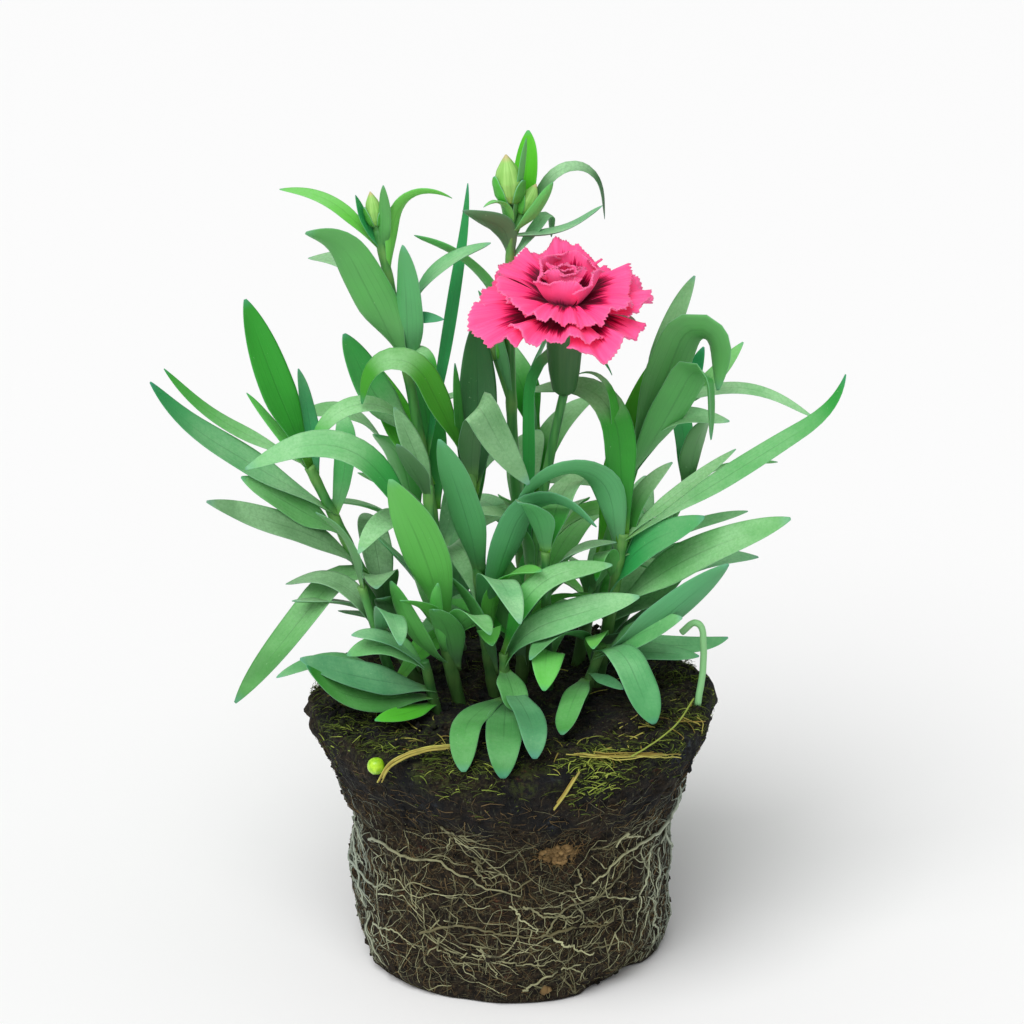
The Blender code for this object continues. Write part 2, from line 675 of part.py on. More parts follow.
def build_root_net(ball):
    """Pale roots that circle the ball and run down it, joined where they cross."""
    chance = np.random.default_rng(SEED + 1)
    work = collection("cutters")
    skin = BVHTree.FromPolygons([tuple(point) for point in ball[0]], ball[1])
    pieces = []
    for height, waviness in ROOT_LOOPS:
        path = root_loop(skin, height, waviness)
        pieces.append(tube("loop", path, [ROOT_RADIUS] * LOOP_STEPS, work, 0, True))
    for ends in LONG_ROOTS:
        path = root_path(skin, *ends, ROOT_STEPS, 0.8, chance)
        pieces.append(tube("long", path, [ROOT_RADIUS * 1.1] * ROOT_STEPS, work, 0))
    for index in range(FINE_ROOTS):
        start = index * 360 / FINE_ROOTS + chance.uniform(-6, 6)
        end = start + chance.uniform(-28, 28)
        path = root_path(skin, start, chance.uniform(26, 54), end, 3.5, ROOT_STEPS, 1.2, chance)
        pieces.append(tube("fine", path, [ROOT_RADIUS * 0.85] * ROOT_STEPS, work, 0))
    return joined("root_net", pieces, "root")


def petal(ring, heading, rise, fall, size, chance, origin, lean):
    """Points and faces of one ruffled petal with a toothed rim."""
    columns = PETAL_COLUMNS
    t = np.linspace(0, 1, ring.rows + 1)
    middle = (t[1:] + t[:-1]) / 2
    lift = np.radians(rise + (fall - rise) * smooth(middle * 1.1))
    out = np.concatenate([[0], np.cumsum(np.cos(lift))]) * size / ring.rows
    high = np.concatenate([[0], np.cumsum(np.sin(lift))]) * size / ring.rows
    across = np.linspace(-1, 1, columns + 1)
    half = ring.width / 2 * (0.15 + 0.85 * t ** 1.3)
    teeth = np.where(np.arange(columns + 1) % 2 == 0, -0.9, 0.9) * chance.uniform(0.6, 1.2, columns + 1)
    waves = np.sin(across * chance.uniform(3, 5) + chance.uniform(0, 6)) * size * 0.05
    sheets = []
    for row in range(ring.rows + 1):
        grow = t[row] ** 2
        round_rim = 1 - 0.28 * across ** 2 * grow
        reach = out[row] * round_rim + (teeth * 0.8 if row == ring.rows else 0)
        level = high[row] * round_rim + ring.cup * half[row] * across ** 2 + waves * grow
        sheets.append(np.stack([reach, half[row] * across, level], 1))
    grid = np.array(sheets)
    spin = np.array(Matrix.Rotation(math.radians(heading), 3, "Z"))
    slope = math.radians((rise + fall) / 2)
    thick = np.array([-math.sin(slope), 0, math.cos(slope)]) * PETAL_THICKNESS / 2
    inner = grid[1:-1, 1:-1].reshape(-1, 3)
    grid[1:-1, 1:-1] += thick
    points = np.vstack([grid.reshape(-1, 3), inner - thick])
    points = (points + np.array([0.6, 0, ring.start])) @ spin.T @ lean.T + origin
    wide = columns + 1
    upper = np.arange((ring.rows + 1) * wide).reshape(-1, wide)
    lower = upper.copy()
    lower[1:-1, 1:-1] = upper.size + np.arange(len(inner)).reshape(ring.rows - 1, columns - 1)
    faces = []
    for row in range(ring.rows):
        for col in range(columns):
            for sheet, turn in ((upper, 1), (lower, -1)):
                a, b = sheet[row, col], sheet[row, col + 1]
                c, d = sheet[row + 1, col], sheet[row + 1, col + 1]
                faces += [(a, c, b)[::turn], (b, c, d)[::turn]]
    return points, [tuple(int(corner) for corner in face) for face in faces]


def bloom_frame():
    """Where the petals start and how the bloom leans."""
    lean = np.array(Matrix.Rotation(math.radians(BLOOM_LEAN), 3, "X"))
    return np.array(STEMS["flowering"].tip, float) + lean @ np.array([0, 0, CALYX_LENGTH]), lean


def bloom_petals():
    """Every petal of the bloom, ring by ring from the outside in."""
    chance = np.random.default_rng(BLOOM_SEED)
    origin, lean = bloom_frame()
    made = []
    for number, ring in enumerate(RINGS):
        for index in range(ring.count):
            heading = 360 / ring.count * (index + 0.37 * number) + chance.uniform(-7, 7)
            rise = ring.rise + chance.uniform(-6, 6)
            fall = ring.fall + chance.uniform(-10, 10)
            size = ring.length * chance.uniform(0.92, 1.06)
            made.append(petal(ring, heading, rise, fall, size, chance, origin, lean))
    return made


def build_bloom(petals):
    """The petals round a short core that stands in the calyx."""
    work = collection("cutters")
    origin, lean = bloom_frame()
    core = np.array([[0, 0, -7], [0, 0, -2], [0, 0, 1.5], [0, 0, 3]]) @ lean.T + origin
    pieces = [tube("core", core, [1.6, 1.9, 2.4, 1.2], work, 2)]
    pieces += [mesh_object("petal", points, faces, work) for points, faces in petals]
    return joined("bloom", pieces, "petal")


def calyx_pieces(work):
    """The green tube under the bloom."""
    lean = bloom_frame()[1]
    tip = np.array(STEMS["flowering"].tip, float)
    along = np.array([0.1, 0.4, 0.8, 0.96]) * CALYX_LENGTH
    path = np.vstack([tip - (0, 0, 1), np.stack([0 * along, 0 * along, along], 1) @ lean.T + tip])
    return [tube("calyx", path, [1.4, 3.2, 4.2, 4.4, 4.0], work, 2)]


def bud_pieces(stem, buds, work):
    """Closed buds, each a swollen tube that narrows to a point, on its stalk."""
    made = []
    for bud in buds:
        foot = stem_point(stem, bud.at)
        turn, lift = math.radians(bud.heading), math.radians(bud.lift)
        ahead = np.array([math.cos(lift) * math.cos(turn), math.cos(lift) * math.sin(turn), math.sin(lift)])
        start = foot + ahead * bud.stalk
        made.append(tube("stalk", [foot - ahead * 0.5, start + ahead], [1.0, 1.0], work, 1))
        along = np.array([0, 0.12, 0.4, 0.7, 0.9, 1.0])
        girth = np.array([0.4, 0.85, 1.0, 0.75, 0.4, 0.12])
        made.append(tube("bud", start + along[:, None] * bud.length * ahead, girth * bud.radius, work, 2))
    return made


def shape_of(made):
    """Points in millimetres and faces of an object."""
    points = np.array([vert.co[:] for vert in made.data.vertices]) / MM
    return points, [tuple(face.vertices) for face in made.data.polygons]


def build_stem(name, leaves):
    """One leafy stem with its buds, fused into one solid."""
    work = collection("cutters")
    stem = STEMS[name]
    path = stem_path(stem)
    girth = np.linspace(stem.radius, stem.radius * STEM_TAPER, len(path))
    pieces = [tube(name, path, girth, work, 1)]
    pieces += bud_pieces(stem, BUDS.get(name, []), work)
    if name == "flowering":
        pieces += calyx_pieces(work)
    pieces += [mesh_object("leaf", *blade(stem_point(stem, leaf.at), leaf), work) for leaf in leaves]
    made = joined("leafy_stem_" + name, pieces, "leaf")
    if name == "flowering":
        origin, lean = bloom_frame()
        socket = np.array([[0, 0, -7.6], [0, 0, -2], [0, 0, 4]]) @ lean.T + origin
        made = cut(made, tube("socket", socket, [2.0, 2.4, 3.2], work, 2))
        finish(made, "leaf")
    return made


def settled_leaves(ball, petals):
    """The leaves of every stem, swung clear of the ball, the bloom and each other's stems."""
    clearing = Clearing()
    clearing.keep("root_ball", *ball)
    for points, faces in petals:
        clearing.keep("bloom", points, faces)
    work = collection("cutters")
    for name, stem in STEMS.items():
        path = stem_path(stem)
        pieces = [tube("guide", path, np.full(len(path), stem.radius), work, 1)]
        pieces += bud_pieces(stem, BUDS.get(name, []), work)
        if name == "flowering":
            pieces += calyx_pieces(work)
        for piece in pieces:
            clearing.keep(name, *shape_of(piece))
            bpy.data.objects.remove(piece, do_unlink=True)
    return place_all(clearing)


def place_all(clearing):
    """Front leaves first, then the hidden ones in what room is left."""
    settled = {name: [] for name in STEMS}
    for source in (LEAVES, low_leaves(), hidden_leaves()):
        for name, leaves in source.items():
            for leaf in leaves:
                placed = clearing.place(name, leaf)
                if placed:
                    settled[name].append(placed)
    return settled


def build_loose_bits():
    """A fertiliser grain on the rim, a straw over it and a bent stalk that stands on the soil."""
    parts = collection("dianthus plant")
    turn = math.radians(PRILL_HEADING)
    reach = float(ball_radius(PRILL_HEIGHT, PRILL_HEADING)) + PRILL_RADIUS + GAP
    place = np.array([reach * math.cos(turn), reach * math.sin(turn), PRILL_HEIGHT]) * MM
    bpy.ops.mesh.primitive_uv_sphere_add(segments=10, ring_count=6, radius=PRILL_RADIUS * MM, location=place)
    bpy.ops.object.transform_apply()
    prill = bpy.context.object
    prill.name = "fertiliser_prill"
    for home in list(prill.users_collection):
        home.objects.unlink(prill)
    parts.objects.link(prill)
    finish(prill, "prill")
    finish(tube("straw_bit", STRAW_PATH, [0.8] * len(STRAW_PATH), parts, 0), "straw")
    finish(tube("bent_stalk", STALK_PATH, [0.9] * len(STALK_PATH), parts, 1), "stalk")


def main():
    clear_scene()
    ball = ball_shape()
    petals = bloom_petals()
    leaves = settled_leaves(ball, petals)
    build_root_ball(*ball)
    build_root_net(ball)
    for name in STEMS:
        build_stem(name, leaves[name])
    build_bloom(petals)
    build_loose_bits()


main()
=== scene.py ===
# %% [markdown]
# A young dianthus, knocked out of its pot: a dark root ball wrapped in pale roots, a crown of
# narrow blue-green leaves on soft stems, closed buds, and one double bloom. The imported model
# gives every solid its place. This script puts a finer surface over each of them.

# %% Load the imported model
import math
from typing import NamedTuple

import bpy
import numpy as np
from mathutils import Matrix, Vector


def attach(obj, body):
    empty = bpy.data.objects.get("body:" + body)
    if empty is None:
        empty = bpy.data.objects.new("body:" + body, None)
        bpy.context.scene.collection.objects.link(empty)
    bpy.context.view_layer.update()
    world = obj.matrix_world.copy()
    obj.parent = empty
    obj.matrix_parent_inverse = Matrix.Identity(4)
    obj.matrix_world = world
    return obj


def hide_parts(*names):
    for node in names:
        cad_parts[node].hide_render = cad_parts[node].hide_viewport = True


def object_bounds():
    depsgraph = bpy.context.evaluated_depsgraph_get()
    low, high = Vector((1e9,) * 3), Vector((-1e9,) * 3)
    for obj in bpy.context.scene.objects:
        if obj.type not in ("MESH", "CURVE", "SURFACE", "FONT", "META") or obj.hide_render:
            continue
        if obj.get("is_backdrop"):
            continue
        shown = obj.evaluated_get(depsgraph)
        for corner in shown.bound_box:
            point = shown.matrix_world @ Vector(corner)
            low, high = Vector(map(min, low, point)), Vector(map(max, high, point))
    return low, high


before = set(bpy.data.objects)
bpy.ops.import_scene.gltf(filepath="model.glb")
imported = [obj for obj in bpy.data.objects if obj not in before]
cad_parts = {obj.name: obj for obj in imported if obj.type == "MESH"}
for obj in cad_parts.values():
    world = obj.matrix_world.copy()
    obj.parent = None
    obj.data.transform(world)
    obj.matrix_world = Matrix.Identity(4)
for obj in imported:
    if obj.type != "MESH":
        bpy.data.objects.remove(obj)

cad_box = [[float(value) for value in corner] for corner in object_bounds()]
print("nodes", len(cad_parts), "box in mm", np.round(np.array(cad_box) * 1000))

# %% [markdown]
# Lengths below are millimetres and angles degrees. The origin is the middle of the ball's base,
# +Z is up and the front faces -Y. A heading is an angle seen from above: 0 is the plant's right,
# 90 its back and 270 its front. One seed drives every random draw, so each run is the same.

# %% Units and the random seed
MM = 0.001
SEED = 11
print("seed", SEED)

# %% [markdown]
# The camera stands where the photographer stood: 88 cm in front, 45 cm up, looking 21 degrees
# down through a long lens. A long lens keeps the rim of the ball a flat ellipse.

# %% Camera
CAMERA_PLACE = (0.0, -0.877, 0.4465)
CAMERA_PITCH = 20.8
LENS = 137.1

lens = bpy.data.cameras.new("camera")
lens.lens = LENS
lens.sensor_width = 36
camera = bpy.data.objects.new("camera", lens)
camera.location = CAMERA_PLACE
camera.rotation_euler = (math.radians(90 - CAMERA_PITCH), 0, 0)
bpy.context.scene.collection.objects.link(camera)
bpy.context.scene.camera = camera
print("camera looks", CAMERA_PITCH, "degrees down")

# %% [markdown]
# A surface looks right only if its material varies the way the real one does. Each material here
# is written as arithmetic: this small class wraps a socket, and an operator on it adds a Math
# node. A colour is never put through a Math node, because that would turn it grey.


# %% Shader arithmetic
class Wire:
    """A number that comes out of a node and can be added, subtracted or multiplied."""

    def __init__(self, mill, socket):
        self.mill = mill
        self.socket = socket

    def math(self, operation, *others):
        """A Math node fed with this number and the others."""
        node = self.mill.node("ShaderNodeMath", {"operation": operation}, {})
        for slot, value in enumerate((self, *others)):
            self.mill.plug(node.inputs[slot], value)
        return Wire(self.mill, node.outputs[0])

    def __add__(self, other):
        return self.math("ADD", other)

    def __sub__(self, other):
        return self.math("SUBTRACT", other)

    def __rsub__(self, other):
        return (self * -1).math("ADD", other)

    def __mul__(self, other):
        return self.math("MULTIPLY", other)

    __radd__ = __add__
    __rmul__ = __mul__

    def size(self):
        """The number without its sign."""
        return self.math("ABSOLUTE")

    def clamp(self):
        """The number, cut off below 0 and above 1."""
        return self.math("MAXIMUM", 0.0).math("MINIMUM", 1.0)

    def rise(self, low, high):
        """0 below low and 1 above high, with a soft step between."""
        node = self.mill.node("ShaderNodeMapRange", {"interpolation_type": "SMOOTHSTEP"},
                              {0: self, 1: low, 2: high, 3: 0.0, 4: 1.0})
        return Wire(self.mill, node.outputs[0])


class Mill:
    """Makes the nodes of one material."""

    def __init__(self, name):
        self.material = bpy.data.materials.new(name)
        self.material.use_nodes = True
        self.tree = self.material.node_tree
        self.shader = self.tree.nodes["Principled BSDF"]

    def plug(self, socket, value):
        """Links a wire or a socket to an input, or sets the input to a constant."""
        if isinstance(value, Wire):
            self.tree.links.new(value.socket, socket)
        elif isinstance(value, bpy.types.NodeSocket):
            self.tree.links.new(value, socket)
        elif isinstance(value, tuple) and len(value) == 3 and socket.type == "RGBA":
            socket.default_value = (*value, 1)
        else:
            socket.default_value = value

    def node(self, kind, settings, inputs):
        """A node with its settings made first and its sockets filled after them."""
        made = self.tree.nodes.new(kind)
        for name, value in settings.items():
            setattr(made, name, value)
        for slot, value in inputs.items():
            self.plug(made.inputs[slot], value)
        return made

    def place(self):
        """Where a point is on the part, in metres."""
        return self.node("ShaderNodeTexCoord", {}, {}).outputs["Object"]

    def numbers(self, vector):
        """The three numbers of a vector. Those of a place are in metres."""
        made = self.node("ShaderNodeSeparateXYZ", {}, {0: vector})
        return [Wire(self, socket) for socket in made.outputs]

    def across_and_along(self):
        """The piece's own UV map, as two numbers and as a vector."""
        uv = self.node("ShaderNodeUVMap", {"uv_map": "UVMap"}, {}).outputs[0]
        return *self.numbers(uv)[:2], uv

    def traits(self):
        """The four numbers that each part of a mesh carries: draw, youth, underside, shade."""
        held = self.node("ShaderNodeAttribute", {"attribute_name": "traits"}, {})
        parts = self.node("ShaderNodeSeparateColor", {}, {0: held.outputs["Color"]})
        return [Wire(self, socket) for socket in (*parts.outputs[:3], held.outputs["Alpha"])]

    def stretched(self, vector, scale):
        """A vector with each of its numbers scaled, which draws noise out into streaks."""
        made = self.node("ShaderNodeVectorMath", {"operation": "MULTIPLY"}, {0: vector, 1: scale})
        return made.outputs[0]

    def noise(self, vector, scale, detail=3.0, roughness=0.55):
        """Soft random clouds, from 0 to 1."""
        made = self.node("ShaderNodeTexNoise", {}, {"Vector": vector, "Scale": scale, "Detail": detail,
                                                    "Roughness": roughness})
        return Wire(self, made.outputs[0])

    def mix(self, low, high, share):
        """The low colour where share is 0 and the high one where it is 1."""
        made = self.node("ShaderNodeMix", {"data_type": "RGBA", "clamp_factor": True}, {6: low, 7: high})
        self.plug(made.inputs["Factor"], share)
        return made.outputs[2]

    def bump(self, height, depth, distance):
        """The surface's direction where a height makes it look uneven."""
        return self.node("ShaderNodeBump", {}, {"Strength": depth, "Distance": distance,
                                                "Height": height}).outputs[0]

    def finish(self, colour, roughness, normal=None, **constants):
        """Fills the shader and returns the material."""
        self.plug(self.shader.inputs["Base Color"], colour)
        self.plug(self.shader.inputs["Roughness"], roughness)
        if normal is not None:
            self.plug(self.shader.inputs["Normal"], normal)
        for name, value in constants.items():
            self.plug(self.shader.inputs[name.replace("_", " ")], value)
        return self.material


def tone(red, green, blue):
    """A screen colour from 0 to 255 as the light it stands for."""
    value = np.array([red, green, blue]) / 255
    light = np.where(value <= 0.04045, value / 12.92, ((value + 0.055) / 1.055) ** 2.4)
    return tuple(float(part) for part in light)


# %% [markdown]
# The plant was photographed against white in bright, soft light from above. A pale floor, an even
# white world and one wide sun high on the front left light it. The pale arches and the deep green
# shade in the crown come from them and from painted highlight and painted shade in the leaves.

# %% Floor, world and sun
WORLD_STRENGTH = 0.44
SUN_STRENGTH = 2.35
SUN_TILT = 34
SUN_TURN = -28
SUN_WIDTH = 50

bpy.context.scene.view_settings.view_transform = "Standard"
world = bpy.data.worlds.new("studio")
world.use_nodes = True
world.node_tree.nodes["Background"].inputs["Color"].default_value = (1.0, 1.0, 1.0, 1)
world.node_tree.nodes["Background"].inputs["Strength"].default_value = WORLD_STRENGTH
bpy.context.scene.world = world

sun = bpy.data.lights.new("sun", "SUN")
sun.energy = SUN_STRENGTH
sun.angle = math.radians(SUN_WIDTH)
sun_holder = bpy.data.objects.new("sun", sun)
sun_holder.rotation_euler = (math.radians(SUN_TILT), 0, math.radians(SUN_TURN))
bpy.context.scene.collection.objects.link(sun_holder)

bpy.ops.mesh.primitive_plane_add(size=12)
floor = bpy.context.object
floor.name = "floor"
floor.data.materials.append(Mill("pale_floor").finish((0.93, 0.93, 0.93), 0.9))
floor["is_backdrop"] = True
print("floor, world and sun are set")

# %% [markdown]
# Every new piece is a sheet of points worked out with numpy: rows run along it and columns run
# across or around it. A patch holds those points with their faces, a UV map and four numbers
# per point that the materials read. Many patches are gathered into one mesh.


# %% Patches and pieces
class Patch(NamedTuple):
    """Points in millimetres, faces, UV and traits of one part of a mesh, and its finish."""
    points: np.ndarray
    faces: list
    uv: np.ndarray
    traits: np.ndarray
    finish: int = 0


def unit(vectors):
    """Vectors scaled to a length of one."""
    return vectors / (np.linalg.norm(vectors, axis=-1, keepdims=True) + 1e-9)


def toward(turn, lift):
    """The direction at a heading and an elevation, both in radians."""
    return np.stack([np.cos(lift) * np.cos(turn), np.cos(lift) * np.sin(turn), np.sin(lift)], -1)


def side_and_up(paths, hint):
    """Two directions at right angles to a line at each of its points; the side is level with the hint."""
    forward = unit(np.gradient(paths, axis=-2))
    side = unit(np.cross(np.broadcast_to(hint, paths.shape), forward))
    return side, np.cross(forward, side)


def laid_out(values, shape):
    """Numbers or arrays spread over a grid of points, next to each other in the last axis."""
    return np.stack([np.broadcast_to(value, shape) for value in values], -1).astype(float)


def grid_faces(rows, columns, wrap):
    """Quads between neighbouring points; a wrapped grid joins its last column to its first."""
    row, column = np.ogrid[:rows - 1, :columns if wrap else columns - 1]
    low, after = row * columns, (column + 1) % columns
    corners = [low + column, low + after, low + columns + after, low + columns + column]
    return np.stack(corners, -1).reshape(-1, 4)


def closed_patch(grid, u, v, traits, finish=0):
    """A grid that wraps round in its columns, with a fan of triangles over each end."""
    rows, columns = grid.shape[:2]
    uv, held = laid_out((u, v), grid.shape[:2]), laid_out(traits, grid.shape[:2])
    ring = np.arange(columns)
    after = (ring + 1) % columns
    low, high = np.full(columns, rows * columns), np.full(columns, rows * columns + 1)
    last = (rows - 1) * columns
    caps = [np.stack([low, after, ring], 1), np.stack([high, last + ring, last + after], 1)]
    return Patch(np.vstack([grid.reshape(-1, 3), grid[0].mean(0), grid[-1].mean(0)]),
                 [grid_faces(rows, columns, True), *caps],
                 np.vstack([uv.reshape(-1, 2), uv[0].mean(0), uv[-1].mean(0)]),
                 np.vstack([held.reshape(-1, 4), held[0, 0], held[-1, -1]]), finish)


def sheet_patch(grid, thickness, u, v, traits):
    """An open grid given thickness: an upper and a lower face joined round the rim."""
    rows, columns = grid.shape[:2]
    offset = unit(np.cross(np.gradient(grid, axis=1), np.gradient(grid, axis=0))) * thickness / 2
    points = np.stack([grid + offset, grid - offset]).reshape(-1, 3)
    count = rows * columns
    top = grid_faces(rows, columns, False)
    index = np.arange(count).reshape(rows, columns)
    rim = np.concatenate([index[0], index[1:, -1], index[-1, -2::-1], index[-2:0:-1, 0]])
    after = np.roll(rim, -1)
    wall = np.stack([rim, rim + count, after + count, after], 1)
    uv = laid_out((u, v), (rows, columns)).reshape(-1, 2)
    held = laid_out(traits, (rows, columns)).reshape(-1, 4)
    under = held.copy()
    under[:, 2] = 1
    faces = [top, (top + count)[:, ::-1], wall]
    return Patch(points, faces, np.vstack([uv, uv]), np.vstack([held, under]))


def many_tubes(paths, radii, hint, sides, chance):
    """Tubes along many paths at once: each ring is centre + radius (cos side + sin up)."""
    side, up = side_and_up(paths, hint)
    angle = np.arange(sides) * 2 * np.pi / sides
    ring = side[:, :, None] * np.cos(angle)[:, None] + up[:, :, None] * np.sin(angle)[:, None]
    points = paths[:, :, None] + ring * radii[:, :, None, None]
    number, steps = paths.shape[:2]
    fan = np.arange(1, sides - 1)
    first = np.stack([0 * fan, fan + 1, fan], 1)
    last = np.stack([0 * fan, fan, fan + 1], 1) + (steps - 1) * sides
    start = (np.arange(number) * steps * sides)[:, None, None]
    groups = (grid_faces(steps, sides, True), first, last)
    faces = [(group + start).reshape(-1, group.shape[1]) for group in groups]
    shape = (number, steps, sides)
    uv = laid_out((np.arange(sides) / sides, np.linspace(0, 1, steps)[:, None]), shape)
    held = laid_out((chance.uniform(0, 1, number)[:, None, None], 0, 0, 0), shape)
    return Patch(points.reshape(-1, 3), faces, uv.reshape(-1, 2), held.reshape(-1, 4))


def piece(name, patches, finishes, nodes):
    """One mesh object from many patches, riding on the plant and standing for CAD nodes."""
    start = np.cumsum([0] + [len(patch.points) for patch in patches])
    points = np.vstack([patch.points for patch in patches]) * MM
    faces, finish = [], []
    for patch, first in zip(patches, start):
        for group in patch.faces:
            faces += (group + first).tolist()
            finish += [patch.finish] * len(group)
    mesh = bpy.data.meshes.new(name)
    mesh.from_pydata(points, [], faces)
    corner = np.zeros(len(mesh.loops), int)
    mesh.loops.foreach_get("vertex_index", corner)
    uv = np.vstack([patch.uv for patch in patches])
    mesh.uv_layers.new(name="UVMap").data.foreach_set("uv", uv[corner].ravel())
    traits = np.vstack([patch.traits for patch in patches])
    mesh.color_attributes.new("traits", "FLOAT_COLOR", "POINT").data.foreach_set("color", traits.ravel())
    for look in finishes:
        mesh.materials.append(look)
    mesh.polygons.foreach_set("material_index", finish)
    mesh.shade_smooth()
    made = bpy.data.objects.new(name, mesh)
    bpy.context.scene.collection.objects.link(made)
    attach(made, "root")
    if nodes:
        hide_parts(*nodes)
    low, high = np.round(points.min(0) * 1000), np.round(points.max(0) * 1000)
    print(name, len(faces), "faces, box in mm", low, high)


# %% [markdown]
# The plant is written down as a list: where each stem stands and leans, and for each leaf its
# seat on the stem, its size, its heading, and how it rises, bends over and turns. The same list
# made the solids, so a finer leaf made from it grows in the same place.


# %% The plant's list
class Stem(NamedTuple):
    """A stem from its place on the soil to its tip, with a sideways bow at mid-height."""
    base: tuple
    tip: tuple
    bow: float = 0.0
    radius: float = 1.7


class Leaf(NamedTuple):
    """A blade on a stem: where it sits, its size, and how it rises, bends and turns."""
    at: float
    length: float
    width: float
    heading: float
    rise: float
    fall: float
    bend: float = 0.5
    reach: float = 0.7
    sweep: float = 0.0
    roll: float = 0.0
    taper: float = 5.0


class Bud(NamedTuple):
    """A closed bud on its stalk: where it leaves the stem, sizes, and where it points."""
    at: float
    stalk: float
    length: float
    radius: float
    heading: float
    lift: float


class Ring(NamedTuple):
    """One ring of petals: how many, their size, and how each rises, falls and cups."""
    count: int
    length: float
    width: float
    rise: float
    fall: float
    start: float
    cup: float


STEMS = {
    "front_left": Stem((-11, -2), (-20, -8, 123), -2),
    "tall_left": Stem((-14, 12), (-32, 14, 180), 2, 1.6),
    "flowering": Stem((2, 9), (12.5, 8, 141), -2, 1.6),
    "tall_middle": Stem((7, 17), (0, 18.5, 183.2), -3, 1.6),
    "right": Stem((20, 8), (27, 2, 107)),
    "back_right": Stem((15, 20), (35, 22, 133), -2),
    "middle": Stem((-3, 3), (-10, 3, 123), -1),
    "left": Stem((-19, 5), (-49, 8, 122)),
    "low_left": Stem((-17, -8), (-21, -13, 80), 0, 1.5),
    "low_front": Stem((-1, -9), (-2, -13, 82), 0, 1.5),
    "low_right": Stem((14, -4), (22, -5, 81), 0, 1.5),
    "back_left": Stem((-9, 22), (-30, 40, 112)),
    "back_middle": Stem((4, 26), (6, 46, 116)),
    "back_end": Stem((20, 29), (44, 42, 104)),
    "side_left": Stem((-25, -4), (-36, -10, 98), 0, 1.5),
    "inner_right": Stem((9, 2), (8, -5, 105), 0, 1.5),
}

